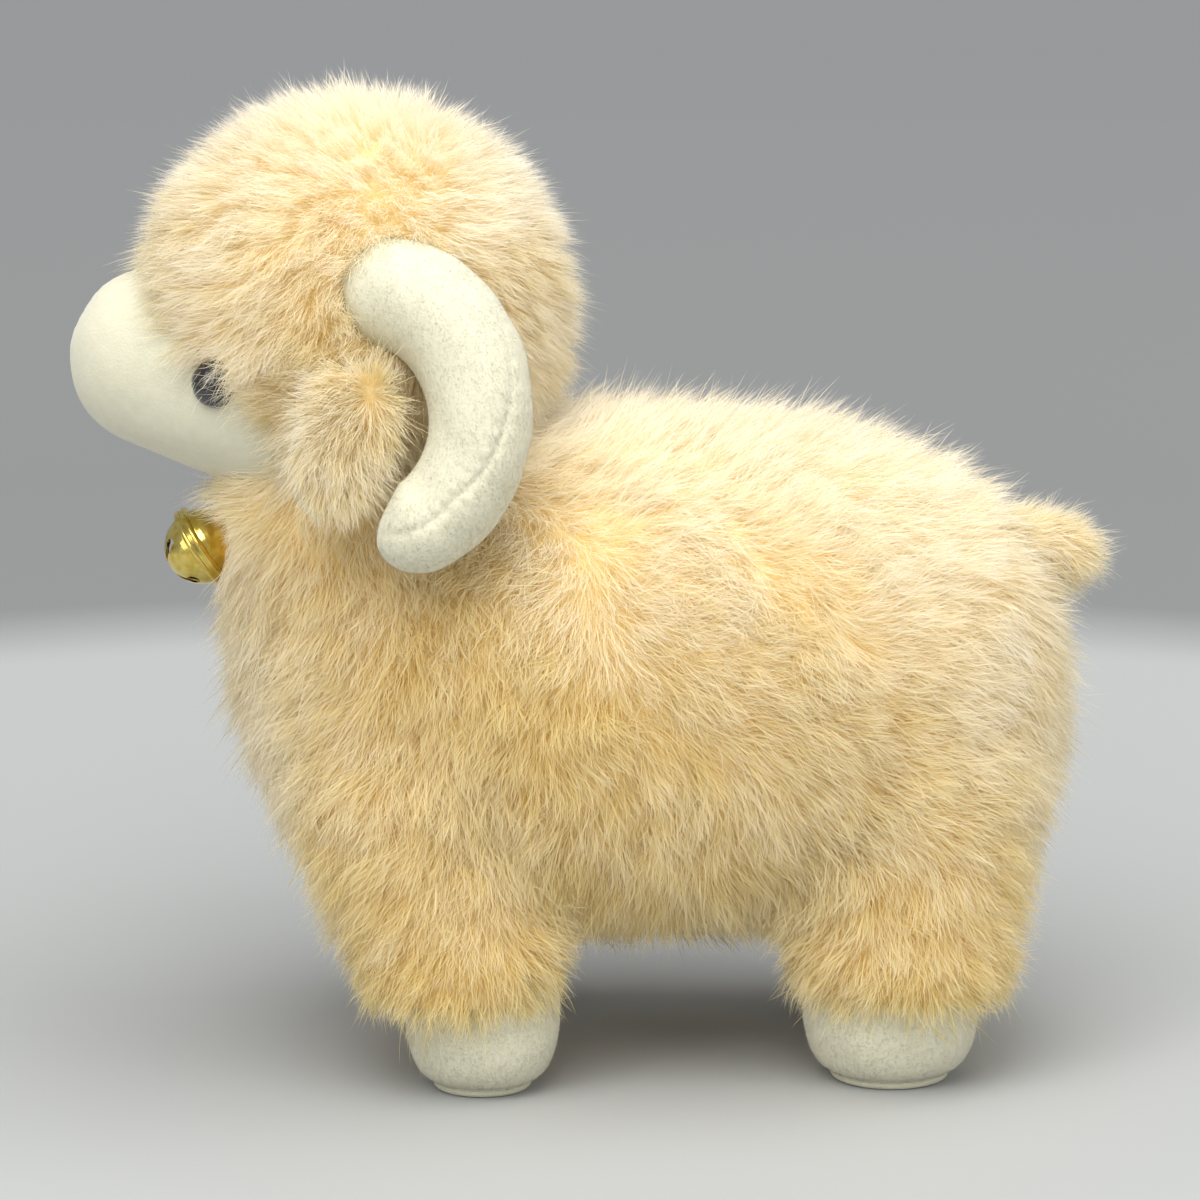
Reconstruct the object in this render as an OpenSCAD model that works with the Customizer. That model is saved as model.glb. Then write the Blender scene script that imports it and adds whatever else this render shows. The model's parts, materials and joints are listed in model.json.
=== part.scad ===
// Plush ram: furry body on four white feet, white face, curled horns and a jingle bell.
// It faces -X with +Z up, stands on Z = 0, and its left side is at -Y.

/* [Body] */
// Length of the body over the fur
body_length = 242; // [236:1:248]
// Width of the body over the fur
body_width = 148; // [142:1:154]
// Height of the body over the fur, legs left out
body_height = 155; // [150:1:160]
// Height of the middle of the body
body_z = 111; // [109:1:114]
// Depth of the long fur on the body and the head
pile = 12; // [10:0.5:13]
// Radius of the thick neck
neck_r = 54; // [52:0.5:56]

/* [Legs] */
// Radius of a front foot
front_foot_r = 21; // [19:0.5:22]
// Radius of a rear foot
rear_foot_r = 24; // [21:0.5:24.5]
// Depth of the fur round a leg
leg_pile = 8.5; // [7:0.5:9.5]
// Height of the fur hem above the floor
hem_z = 25; // [22:1:30]

/* [Head] */
// Radius of the round head over the fur
head_r = 63; // [61:0.5:64]
// Height of the middle of the head
head_z = 217; // [215:1:219]
// Radius of the round end of the muzzle
muzzle_r = 24.5; // [23:0.5:26]
// Width of the fur gusset over the crown
crown_w = 34; // [26:1:40]
// Diameter of an eye
eye_d = 14; // [12:0.5:15]

/* [Horns and ears] */
// Radius of a horn at its thickest
horn_r = 15; // [14:0.5:15.5]
// Half the height of a horn's curl
horn_curl_z = 31; // [29:0.5:32]
// Half the length of a horn's curl, front to back
horn_curl_x = 25; // [24:0.5:26]
// Thickness of the fur on an ear
ear_fur = 6; // [5:0.5:7]

/* [Tail and bell] */
// Length of the tail from its root seam
tail_length = 29; // [27:0.5:31]
// Outer radius of the bell
bell_r = 11; // [10:0.25:11.5]
// Wall thickness of the bell
bell_wall = 0.6; // [0.5:0.05:0.8]
// Width of the sound slots
bell_slot = 1.8; // [1.4:0.1:2.2]

/* [Hidden] */
// Colours
fur_colour = "#e9d9b4";
plush_colour = "#eee9dc";
fill_colour = "#f7f6f2";
bell_colour = "#c9a04a";
thread_colour = "#cdb892";

// Fineness of the soft forms and of the turned ones
ball_fn = 26;
leg_fn = 20;
turn_fn = 96;
blob_rings = 14;
blob_sides = 24;

// Gaps: along a seam, between a cover and its filling, and between moving pieces
seam_gap = 0.2;
fill_gap = 0.3;
move_gap = 0.5;
cloth = 2.5;
far = 400;

// Body and neck
body_x = 16;
body_square = 2.45;
section_square = 2.3;
body_half = [body_length / 2, body_width / 2, body_height / 2];
neck_x = -58;
neck_z = 158;
neck_low = [-52, 0, 120];
neck_low_r = neck_r - 2;
belly_w = 76;
belly_z = 58;

// Legs: floor place of the foot, place of the hip, radius of the foot, lead of the fur hem
hip_z = 80;
front_leg = [[-32, 46], [-46, 39], front_foot_r, -5];
rear_leg = [[85, 36], [89, 31], rear_foot_r, 3];
foot_top = 38;
knee_z = foot_top + 1;
hip_swell = 1;
hem_open = 5;
sole_t = 3;
sole_inset = 6.5;
sole_bevel = [2, 0.8];
foot_bulge_z = 17;
foot_bulge_steps = 6;

// Head, face and eyes
head_at = [-69, 0, head_z];
neck_cut_z = head_z - 40;
seat_r = (head_r + move_gap) / pow(cos(180 / ball_fn), 2);
muzzle = [-124.5, 2.5, head_z - 13];
cheek = [-90, 19, head_z - 21];
cheek_r = muzzle_r;
face_root = [-82, 0, head_z - 16];
face_root_r = 38;
eye_along = 0.88;
eye_rise = 5.2;
eye_sink = 0.6;
eye_rim_z = 0.7;
eye_rim = [0.4, 0.5];
eye_dome = 4.6;
eye_dome_steps = 10;
eye_socket = [1.5, 30];
shank_r = 2;
shank_length = 11;
washer_r = 6;
washer_t = 1.4;
washer_gap = 1;
shank_fit = 0.05;
shank_gap = 0.2;
drill = 20;
stitch_r = 0.9;
stitch_fn = 16;
stitch_lift = 0.05;
nose_w = 4.5;
nose_top = 2;
nose_mid = -4;
nose_low = -11;

// Horns, in the right-hand side's coordinates
horn_centre = [-56.5, head_z - 20];
horn_from = -27;
horn_to = 188;
horn_root_y = 38;
horn_side_y = 75;
horn_taper = 0.12;
horn_steps = 20;
horn_half_sides = 8;
horn_least_r = 0.3;
horn_measure_steps = 40;
horn_slope_step = 0.001;
// Seat of a horn in the head: place along the horn, and room round it
horn_rooms = [[0.13, 3], [0.22, 4], [0.32, 6], [0.45, 3]];

// Ears: hinge line and outline, in the right-hand side's coordinates
ear_hinge = [-65.5, 66.5, head_z - 12];
ear_hinge_w = 18;
ear_roll_r = 3;
ear_lining_t = 2.5;
ear_lining_inset = 1;
ear_drop = 1.5;
ear_roll_gap = 1;
ear_seat_w = ear_hinge_w + 8;
ear_fn = 32;
// Outline of an ear: middle and radius of the four circles it is drawn round
ear_rounds = [[[-5, -4], 4], [[6, -4], 4], [[-4, -16], 12.5], [[-7, -33], 6]];

// Tail
tail_at = [120, 0, 147];
tail_r = 12.5;
tail_wag = 25;
tail_sink = 4;
tail_steps = 14;
tail_blunt = 0.7;
tail_slim = 0.12;
tail_seat_gap = 2;
tail_flare = 1.3;

// Bell: its axis points forward and down from the loop that carries it
bell_tilt = 33;
bell_tie_at = [-100.7, 0, 156.5];
bell_eye_r = 2.6;
bell_wire_r = 0.7;
bell_tie_r = 0.8;
bell_tie_w = 12;
bell_drop = 14.6;
bell_lip = 1.3;
bell_lip_t = 0.9;
bell_lift = 20;
bell_swing_over = 4;
bell_room_gap = 1;
bell_eye_gap = 2.5;
bell_lip_z = 0.05;
bell_stem_z = 1;
bell_stem_h = 3;
bell_stem_fit = 0.05;
bell_arc_steps = 12;
bell_arc_end = 2;
slot_turns = [45, 135];
slot_hole_r = 1.9;
slot_angle = 52;
tie_gap = 0.2;
pellet_r = 3.4;
pellet_gap = 0.4;

SIDES = ["left", "right"];

// Helpers

function signed_power(v, e) = sign(v) * pow(abs(v), e);
function unit(v) = v / norm(v);
function total(list, i = 0) = i < len(list) ? list[i] + total(list, i + 1) : 0;

// Right-hand pieces are drawn at +Y; the left-hand ones are their mirror image
module on_side(side) {
    if (side == "left") mirror([0, 1, 0]) children();
    else children();
}

module both_sides() {
    for (side = SIDES) on_side(side) children();
}

module ball(at, r) {
    translate(at) sphere(r, $fn = ball_fn);
}

// Turns the children's +Z axis to point along a direction
module aim(direction) {
    rotate([0, acos(direction.z / norm(direction)), atan2(direction.y, direction.x)]) children();
}

// Four-cornered faces cut into two triangles each
function halves(faces) = [for (f = faces) each [[f[0], f[1], f[2]], [f[0], f[2], f[3]]]];

// A closed skin over a grid of points, rows by columns, whose columns join round
module tube(points, rows, columns) {
    walls = [for (i = [0:rows - 2]) for (j = [0:columns - 1])
        let (k = (j + 1) % columns)
        [i * columns + j, i * columns + k, (i + 1) * columns + k, (i + 1) * columns + j]];
    start = [[for (j = [0:columns - 1]) columns - 1 - j]];
    end = [[for (j = [0:columns - 1]) (rows - 1) * columns + j]];
    polyhedron(points, concat(halves(walls), start, end));
}

// A closed slab between two grids of the same rows and columns
module slab(outer, inner, rows, columns) {
    n = rows * columns;
    skin = [for (i = [0:rows - 2]) for (j = [0:columns - 2])
        [i * columns + j, i * columns + j + 1, (i + 1) * columns + j + 1, (i + 1) * columns + j]];
    lining = [for (f = skin) [for (k = [3:-1:0]) f[k] + n]];
    rows_edge = [for (i = [0:rows - 2]) each [
        [i * columns, (i + 1) * columns, (i + 1) * columns + n, i * columns + n],
        [(i + 1) * columns + columns - 1, i * columns + columns - 1,
         i * columns + columns - 1 + n, (i + 1) * columns + columns - 1 + n]]];
    columns_edge = [for (j = [0:columns - 2]) each [
        [j + 1, j, j + n, j + 1 + n],
        [(rows - 1) * columns + j, (rows - 1) * columns + j + 1,
         (rows - 1) * columns + j + 1 + n, (rows - 1) * columns + j + n]]];
    polyhedron(concat(outer, inner), halves(concat(skin, lining, rows_edge, columns_edge)));
}

// Body forms

// An ellipsoid made squarer along its length and round its section
module blob(half, along, around) {
    points = [for (i = [0:blob_rings]) for (j = [0:blob_sides - 1])
        let (a = -90 + 180 * i / blob_rings, b = 360 * j / blob_sides)
        let (reach = signed_power(cos(a), 2 / along))
        [half.x * signed_power(sin(a), 2 / along),
         half.y * reach * signed_power(cos(b), 2 / around),
         half.z * reach * signed_power(sin(b), 2 / around)]];
    hull() tube(points, blob_rings + 1, blob_sides);
}

module body_form(inset) {
    translate([body_x, 0, body_z]) blob(body_half - inset * [1, 1, 1], body_square, section_square);
}

module neck_form(inset) {
    hull() {
        ball([neck_x, 0, neck_z], neck_r - inset);
        ball(neck_low, neck_low_r - inset);
    }
}

// One leg from inside the body down to a given height
module leg_form(leg, inset, low) {
    r = leg[2] + leg_pile + move_gap - inset;
    lead = inset > 0 ? 0 : leg[3];
    hull() {
        translate([leg[0].x + lead, leg[0].y, low]) cylinder(r = r, h = knee_z - low, $fn = leg_fn);
        translate([leg[1].x, leg[1].y, hip_z]) sphere(r + hip_swell, $fn = leg_fn);
    }
}

module all_legs(inset, low) {
    both_sides() {
        leg_form(front_leg, inset, low);
        leg_form(rear_leg, inset, low);
    }
}

module head_seat() {
    ball(head_at, seat_r);
}

// Room for the bell at rest and lifted, and for its loop
module bell_room() {
    translate(bell_tie_at) {
        hull() for (lift = [-bell_swing_over, bell_lift + bell_swing_over]) rotate([0, lift - bell_tilt, 0])
            ball([-bell_drop, 0, 0], bell_r + bell_lip + bell_room_gap);
        ball([0, 0, 0], bell_eye_r + bell_eye_gap);
    }
}

// Round seat for the root of the tail, flared so that the tail can wag
module tail_room() {
    mouth_r = tail_r + tail_flare * tail_length * tan(tail_wag);
    translate(tail_at) rotate([0, 90, 0]) hull() {
        sphere(tail_r + tail_seat_gap, $fn = leg_fn);
        translate([0, 0, tail_length]) cylinder(r = mouth_r, h = 1, $fn = leg_fn);
    }
}

module coat() {
    difference() {
        union() {
            body_form(0);
            neck_form(0);
        }
        body_form(pile);
        neck_form(pile);
        all_legs(leg_pile, hem_z);
        head_seat();
        bell_room();
        tail_room();
        tie_bar(tie_gap, leg_fn);
    }
}

module belly_zone(grow) {
    translate([-far / 2, -belly_w / 2 - grow, -grow]) cube([far, belly_w + 2 * grow, belly_z + 2 * grow]);
}

module side_panel(side) {
    color(fur_colour) intersection() {
        coat();
        on_side(side) difference() {
            translate([-far / 2, seam_gap / 2, 0]) cube(far);
            belly_zone(seam_gap);
        }
    }
}

module belly_gusset() {
    color(fur_colour) intersection() {
        coat();
        belly_zone(0);
    }
}

// Filling of body, neck, legs and feet in one piece
module body_stuffing() {
    inset = pile + fill_gap;
    color(fill_colour) difference() {
        union() {
            body_form(inset);
            neck_form(inset);
            all_legs(leg_pile + move_gap + cloth + fill_gap, foot_top);
            both_sides() for (leg = [front_leg, rear_leg]) foot_core(leg);
        }
        head_seat();
        bell_room();
        tail_room();
        tie_bar(tie_gap, leg_fn);
    }
}

// Legs and feet

module leg(end, side) {
    data = end == "front" ? front_leg : rear_leg;
    color(fur_colour) on_side(side) difference() {
        leg_form(data, 0, hem_z);
        leg_form(data, leg_pile, hem_z - hem_open);
        body_form(-seam_gap);
        neck_form(-seam_gap);
    }
}

// Half section of a rounded foot, from the edge of the sole to the ankle
function foot_section(r, inset) = concat(
    [for (i = [0:foot_bulge_steps]) let (a = 90 * i / foot_bulge_steps)
        [r - inset - sole_inset * (1 - sin(a)), foot_bulge_z - (foot_bulge_z - sole_t) * cos(a)]],
    [[r - inset, foot_top]]);

module foot(end, side) {
    data = end == "front" ? front_leg : rear_leg;
    outline = foot_section(data[2], 0);
    lining = foot_section(data[2], cloth);
    count = len(lining);
    color(plush_colour) on_side(side) translate([data[0].x, data[0].y, 0])
        rotate_extrude($fn = turn_fn)
            polygon(concat(outline, [for (i = [1:count]) lining[count - i]]));
}

module sole(end, side) {
    data = end == "front" ? front_leg : rear_leg;
    r = data[2] - sole_inset;
    color(plush_colour) on_side(side) translate([data[0].x, data[0].y, 0])
        rotate_extrude($fn = turn_fn)
            polygon([[0, 0], [r - sole_bevel.x, 0], [r, sole_bevel.y], [r, sole_t - seam_gap],
                     [0, sole_t - seam_gap]]);
}

module foot_core(data) {
    r = data[2] - cloth - 2 * fill_gap;
    hull() translate([data[0].x, data[0].y, 0]) {
        translate([0, 0, sole_t + fill_gap]) cylinder(r = r - sole_inset, h = 1, $fn = leg_fn);
        translate([0, 0, foot_bulge_z]) cylinder(r = r, h = knee_z - foot_bulge_z, $fn = leg_fn);
    }
}

// Head

module face_form(inset) {
    hull() {
        both_sides() ball(muzzle, muzzle_r - inset);
        both_sides() ball(cheek, cheek_r - inset);
        ball(face_root, face_root_r - inset);
    }
}

// An eye sits on the slope between the muzzle and the cheek
eye_run = cheek - muzzle;
eye_face = unit([-eye_run.y, eye_run.x, 0]);
eye_at = muzzle + eye_along * eye_run + (muzzle_r - eye_sink) * eye_face + [0, 0, eye_rise];

module at_eye() {
    translate(eye_at) aim(eye_face) children();
}

// Round seat for the root of a horn, wider outside so that the horn can swing out
module horn_room(fn = turn_fn) {
    for (room = horn_rooms) translate(horn_path(room[0])) sphere(horn_r + room[1], $fn = fn);
}

module ear_room() {
    translate(ear_hinge) rotate([0, 90, 0])
        cylinder(r = ear_roll_r + ear_roll_gap, h = ear_seat_w, center = true, $fn = turn_fn);
}

module hood() {
    difference() {
        translate(head_at) sphere(head_r, $fn = turn_fn);
        translate(head_at) sphere(head_r - pile, $fn = turn_fn);
        translate([-far / 2, -far / 2, neck_cut_z - far]) cube(far);
        face_form(-fill_gap);
        both_sides() {
            horn_room();
            ear_room();
            at_eye() translate([0, 0, -cloth])
                cylinder(r = eye_d / 2 + eye_socket.x, h = eye_socket.y, $fn = turn_fn);
        }
    }
}

module hood_panel(side) {
    color(fur_colour) intersection() {
        hood();
        on_side(side) translate([-far / 2, crown_w / 2 + seam_gap / 2, 0]) cube(far);
    }
}

module crown_gusset() {
    color(fur_colour) difference() {
        intersection() {
            hood();
            translate([-far / 2, -crown_w / 2 + seam_gap / 2, 0]) cube([far, crown_w - seam_gap, far]);
        }
        translate([head_at.x - far, -far / 2, head_z - far]) cube(far);
    }
}

module face(side) {
    color(plush_colour) on_side(side) intersection() {
        difference() {
            face_form(0);
            face_form(cloth);
            translate(head_at) sphere(head_r - pile + fill_gap, $fn = turn_fn);
            at_eye() cylinder(r = shank_r + shank_gap, h = drill, center = true, $fn = turn_fn);
        }
        translate([-far / 2, seam_gap / 2, 0]) cube(far);
    }
}

module head_stuffing() {
    color(fill_colour) difference() {
        union() {
            translate(head_at) sphere(head_r - pile - fill_gap, $fn = turn_fn);
            difference() {
                translate(head_at) sphere(head_r, $fn = turn_fn);
                translate([-far / 2, -far / 2, neck_cut_z - fill_gap]) cube(far);
                face_form(-fill_gap);
            }
            face_form(cloth + fill_gap);
        }
        both_sides() {
            hull() horn_room(ball_fn);
            ear_room();
            at_eye() translate([0, 0, -shank_length - washer_gap])
                cylinder(r = washer_r + move_gap, h = drill, $fn = turn_fn);
        }
    }
}

// Safety eye: a domed cap on a shank
module eye(side) {
    r = eye_d / 2;
    color("black") on_side(side) at_eye() rotate_extrude($fn = turn_fn)
        polygon(concat(
            [[0, -shank_length], [shank_r, -shank_length], [shank_r, eye_rim_z],
             [r - eye_rim.x, eye_rim_z], [r, eye_rim_z + eye_rim.y]],
            [for (i = [1:eye_dome_steps]) let (a = 90 * i / eye_dome_steps)
                [r * cos(a), eye_rim_z + eye_rim.y + eye_dome * sin(a)]]));
}

module eye_washer(side) {
    color("white") on_side(side) at_eye() translate([0, 0, -cloth - fill_gap - washer_t - washer_gap])
        difference() {
            cylinder(r = washer_r, h = washer_t, $fn = turn_fn);
            cylinder(r = shank_r + shank_fit, h = drill, center = true, $fn = turn_fn);
        }
}

// Point of the nose on the front of the muzzle, a given height above its middle
function nose_point(y, rise) = [muzzle.x - sqrt(pow(muzzle_r, 2) - pow(rise, 2)), y, muzzle.z + rise];

module stitch(from, to) {
    hull() {
        translate(from) sphere(stitch_r, $fn = stitch_fn);
        translate(to) sphere(stitch_r, $fn = stitch_fn);
    }
}

// Stitched nose: two short strokes and one down, lying on the muzzle
module nose_stitch() {
    color(thread_colour) difference() {
        union() {
            for (y = [-nose_w, nose_w]) stitch(nose_point(y, nose_top), nose_point(0, nose_mid));
            stitch(nose_point(0, nose_mid), nose_point(0, nose_low));
        }
        face_form(-stitch_lift);
    }
}

// Horns

function horn_turn(t) = horn_from + (horn_to - horn_from) * t;
function horn_path(t) = let (a = horn_turn(t))
    [horn_centre.x + horn_curl_x * sin(a),
     horn_root_y + (horn_side_y - horn_root_y) * (1 - pow(1 - t, 2)),
     horn_centre.y + horn_curl_z * cos(a)];
horn_length = total([for (i = [1:horn_measure_steps])
    norm(horn_path(i / horn_measure_steps) - horn_path((i - 1) / horn_measure_steps))]);

// Radius at a distance along the horn: round root, slow taper, round tip
function horn_radius(s, length, r) =
    let (slim = r * (1 - horn_taper * s / length))
    let (root = s < r ? sqrt(1 - pow(1 - s / r, 2)) : 1)
    let (tip = length - s < slim ? sqrt(1 - pow(1 - (length - s) / slim, 2)) : 1)
    max(horn_least_r, slim * root * tip);

// Point of the horn's surface, sunk by an inset: place along it, and turn round it
function horn_point(t, turn, inset) =
    let (length = horn_length - 2 * inset, s = t * length)
    let (u = (s + inset) / horn_length, step = horn_slope_step)
    let (along = unit(horn_path(u + step) - horn_path(u - step)))
    let (away = [sin(horn_turn(u)), 0, cos(horn_turn(u))])
    let (out = unit(away - (away * along) * along), side = cross(along, out))
    horn_path(u) + horn_radius(s, length, horn_r - inset) * (cos(turn) * out + sin(turn) * side);

function horn_spacing(i) = (1 - cos(180 * i / horn_steps)) / 2;

function horn_half(middle, inset) =
    let (reach = 90 - asin(seam_gap / horn_r))
    [for (i = [0:horn_steps]) for (j = [0:horn_half_sides])
        horn_point(horn_spacing(i), middle + reach * (2 * j / horn_half_sides - 1), inset)];

// One half of a horn's cover: the outside of the curl, or its inside
module horn_panel(side, middle) {
    color(plush_colour) on_side(side)
        slab(horn_half(middle, 0), horn_half(middle, cloth), horn_steps + 1, horn_half_sides + 1);
}

module horn_stuffing(side) {
    sides = 2 * horn_half_sides;
    points = [for (i = [0:horn_steps]) for (j = [0:sides - 1])
        horn_point(horn_spacing(i), 360 * j / sides, cloth + fill_gap)];
    color(fill_colour) on_side(side) tube(points, horn_steps + 1, sides);
}

// Ears

module ear_outline(inset) {
    hull() {
        for (round = ear_rounds) translate(round[0]) circle(round[1] - inset, $fn = ear_fn);
    }
}

module ear_slab(inset, t) {
    rotate([90, 0, 0]) linear_extrude(t) ear_outline(inset);
}

module ear_back(side) {
    color(fur_colour) on_side(side) translate(ear_hinge) {
        rotate([0, 90, 0]) cylinder(r = ear_roll_r, h = ear_hinge_w, center = true, $fn = turn_fn);
        translate([0, ear_fur - ear_drop, 0]) ear_slab(0, ear_fur);
    }
}

module ear_lining(side) {
    color(plush_colour) on_side(side) difference() {
        translate(ear_hinge + [0, -ear_drop - seam_gap, -ear_drop]) ear_slab(ear_lining_inset, ear_lining_t);
        translate(ear_hinge) rotate([0, 90, 0])
            cylinder(r = ear_roll_r + seam_gap, h = ear_seat_w, center = true, $fn = turn_fn);
    }
}

// Tail: a turned drop that points back from a round root

function tail_section(grow) = concat(
    [[0, -tail_r - grow]],
    [for (i = [1:tail_steps - 1])
        let (a = 180 * i / tail_steps)
        let (z = -cos(a) * (cos(a) > 0 ? tail_r : tail_length))
        let (slim = z > 0 ? 1 - tail_slim * z / tail_length : 1)
        [(tail_r + grow) * slim * pow(sin(a), z > 0 ? tail_blunt : 1), z * (tail_r + grow) / tail_r]],
    [[0, tail_length + grow]]);

module tail_turned(grow) {
    rotate([0, 90, 0]) rotate_extrude($fn = turn_fn) polygon(tail_section(grow));
}

module tail_cover(low) {
    color(fur_colour) translate(tail_at) intersection() {
        difference() {
            tail_turned(0);
            tail_turned(-tail_sink);
        }
        translate([-far / 2, -far / 2, low ? -far - seam_gap / 2 : seam_gap / 2]) cube(far);
    }
}

module tail_upper() {
    tail_cover(false);
}

module tail_under() {
    tail_cover(true);
}

module tail_stuffing() {
    color(fill_colour) translate(tail_at) tail_turned(-tail_sink - fill_gap);
}

// Bell: two pressed halves with rolled lips, a wire loop, and a loose pellet

// Bell's own frame: origin at the middle of the ball, +Z along its axis to the slotted end
module in_bell() {
    translate(bell_tie_at) rotate([0, -90 - bell_tilt, 0]) translate([0, 0, bell_drop]) children();
}

bell_axis = [-cos(bell_tilt), 0, -sin(bell_tilt)];
bell_at = bell_tie_at + bell_drop * bell_axis;

function arc(r, from, to, steps) =
    [for (i = [0:steps]) let (a = from + (to - from) * i / steps) [r * cos(a), r * sin(a)]];

module half_bell() {
    inner_r = bell_r - bell_wall;
    rim_r = bell_r + bell_lip;
    rotate_extrude($fn = turn_fn) polygon(concat(
        [[inner_r, bell_lip_z], [rim_r, bell_lip_z], [rim_r, bell_lip_t]],
        arc(bell_r, asin(bell_lip_t / bell_r), 90, bell_arc_steps),
        arc(inner_r, 90, bell_arc_end, bell_arc_steps)));
}

module bell_cap() {
    color(bell_colour) in_bell() difference() {
        mirror([0, 0, 1]) half_bell();
        translate([0, 0, -bell_r - bell_stem_z])
            cylinder(r = bell_wire_r + bell_stem_fit, h = bell_stem_h, $fn = turn_fn);
    }
}

module bell_cup() {
    color(bell_colour) in_bell() difference() {
        half_bell();
        for (turn = slot_turns) rotate([0, 0, turn]) {
            intersection() {
                translate([-far / 2, -bell_slot / 2, bell_r * cos(slot_angle)]) cube([far, bell_slot, far]);
                cylinder(r = bell_r * sin(slot_angle), h = far, $fn = turn_fn);
            }
            for (lean = [-slot_angle, slot_angle]) rotate([0, lean, 0])
                translate([0, 0, bell_r / 2]) cylinder(r = slot_hole_r, h = bell_r, $fn = turn_fn);
        }
    }
}

module bell_eye() {
    color(bell_colour) in_bell() {
        translate([0, 0, -bell_drop]) rotate([90, 0, 0]) rotate_extrude($fn = turn_fn)
            translate([bell_eye_r, 0]) circle(bell_wire_r, $fn = turn_fn);
        translate([0, 0, -bell_r - bell_stem_z]) cylinder(r = bell_wire_r, h = bell_stem_h, $fn = turn_fn);
    }
}

module bell_pellet() {
    color("silver") translate(bell_at - [0, 0, bell_r - bell_wall - pellet_r - pellet_gap])
        sphere(pellet_r, $fn = turn_fn);
}

module tie_bar(grow, fn = turn_fn) {
    translate(bell_tie_at) rotate([90, 0, 0])
        cylinder(r = bell_tie_r + grow, h = bell_tie_w + 2 * grow, center = true, $fn = fn);
}

// Thread that carries the bell, caught in the filling at both ends
module bell_tie() {
    color(thread_colour) tie_bar(0);
}

side_panel("left");  // side_panel_left
side_panel("right");  // side_panel_right
belly_gusset();
body_stuffing();
bell_tie();
for (end = ["front", "rear"]) for (side = SIDES) {
    leg(end, side);
    foot(end, side);
    sole(end, side);
}
crown_gusset();
head_stuffing();
nose_stitch();
for (side = SIDES) {
    hood_panel(side);
    face(side);
    eye(side);
    eye_washer(side);
    horn_panel(side, 0);
    horn_panel(side, 180);
    horn_stuffing(side);
    ear_back(side);
    ear_lining(side);
}
tail_upper();
tail_under();
tail_stuffing();
bell_cap();
bell_cup();
bell_eye();
bell_pellet();
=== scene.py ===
"""A plush ram: long fur over a stuffed body, short plush on face, horns and feet, and a brass bell.

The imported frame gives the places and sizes. Lengths are millimetres until a mesh is made from them.
The left side of the animal is at -Y, and it faces -X.
"""
import json
import logging
import math
from collections.abc import Callable, Iterable
from dataclasses import dataclass, field
from enum import Enum
from functools import cache

import bpy
import numpy as np
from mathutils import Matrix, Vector


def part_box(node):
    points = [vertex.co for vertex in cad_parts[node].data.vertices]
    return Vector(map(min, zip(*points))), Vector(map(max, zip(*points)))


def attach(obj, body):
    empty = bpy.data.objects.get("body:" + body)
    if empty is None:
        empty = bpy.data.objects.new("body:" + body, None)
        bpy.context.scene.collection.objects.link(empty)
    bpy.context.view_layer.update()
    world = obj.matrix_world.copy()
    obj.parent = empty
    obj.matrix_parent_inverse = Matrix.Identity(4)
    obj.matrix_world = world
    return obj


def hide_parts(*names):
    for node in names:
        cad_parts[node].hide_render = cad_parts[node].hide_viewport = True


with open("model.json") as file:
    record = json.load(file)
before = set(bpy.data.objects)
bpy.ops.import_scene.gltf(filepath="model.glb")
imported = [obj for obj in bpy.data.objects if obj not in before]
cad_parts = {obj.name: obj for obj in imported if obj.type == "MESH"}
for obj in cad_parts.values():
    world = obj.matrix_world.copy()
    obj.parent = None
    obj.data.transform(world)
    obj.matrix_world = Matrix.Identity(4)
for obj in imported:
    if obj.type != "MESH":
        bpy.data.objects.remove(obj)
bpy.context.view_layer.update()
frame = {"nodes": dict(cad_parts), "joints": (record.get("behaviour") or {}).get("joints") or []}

LOG = logging.getLogger("plush_ram")
Array = np.ndarray
Random = np.random.Generator
Material = bpy.types.Material
Node = bpy.types.Node
Socket = bpy.types.NodeSocket
Pair = tuple[float, float]
Triple = tuple[float, float, float]
Colour = Triple
MM = 0.001
TORSO = "torso"
HEAD = "head"
STRAND_MAP = "OFBake"
TONES = (0.04, 0.96)
TONE_CHANGE = 0.07
# Thickness of the sewn cloth, how tightly body and limbs are stuffed, and space between hairs and face
CLOTH_T = 2.0
FIRM = 0.85
SOFT = 0.8
HAIR_GAP = 0.8
DOWN = np.array([0.0, 0.0, -1.0])
MIRROR = np.array([1.0, -1.0, 1.0])


class Side(Enum):
    """The two sides of the animal, with the sign of their Y."""

    LEFT = -1
    RIGHT = 1

    @property
    def word(self) -> str:
        """The side's name as the nodes spell it."""
        return self.name.lower()


class End(Enum):
    """The two pairs of legs."""

    FRONT = "front"
    REAR = "rear"


class Slot(Enum):
    """The record's material slots."""

    FUR = "long_fur"
    PLUSH = "short_plush"
    FILLING = "filling"
    THREAD = "thread"
    EYE = "eye"
    WASHER = "washer"
    BRASS = "brass"
    STEEL = "steel"


# Small vector and frame helpers


def unit(vectors: Array) -> Array:
    """Vectors scaled to length one."""
    return vectors / np.maximum(np.linalg.norm(vectors, axis=-1, keepdims=True), 1e-9)


def dot(a: Array, b: Array) -> Array:
    """Row by row product of two sets of vectors, kept as a column."""
    return (a * b).sum(-1, keepdims=True)


def flattened(vectors: Array, normals: Array) -> Array:
    """Vectors without their part along the normals."""
    return vectors - dot(vectors, normals) * normals


def joint_at(name: str) -> Array:
    """Place of a joint of the frame, in millimetres."""
    joint = next(j for j in frame["joints"] if j["name"] == name)
    return np.array(joint["pos_m"]) / MM


def node_box(name: str) -> tuple[Array, Array]:
    """Lowest and highest corner of a node of the frame, in millimetres."""
    low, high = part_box(name)
    return np.array(low) / MM, np.array(high) / MM


def on_left(points: Array) -> Array:
    """Points folded over to the left side of the animal."""
    return np.stack([points[..., 0], -np.abs(points[..., 1]), points[..., 2]], -1)


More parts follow.
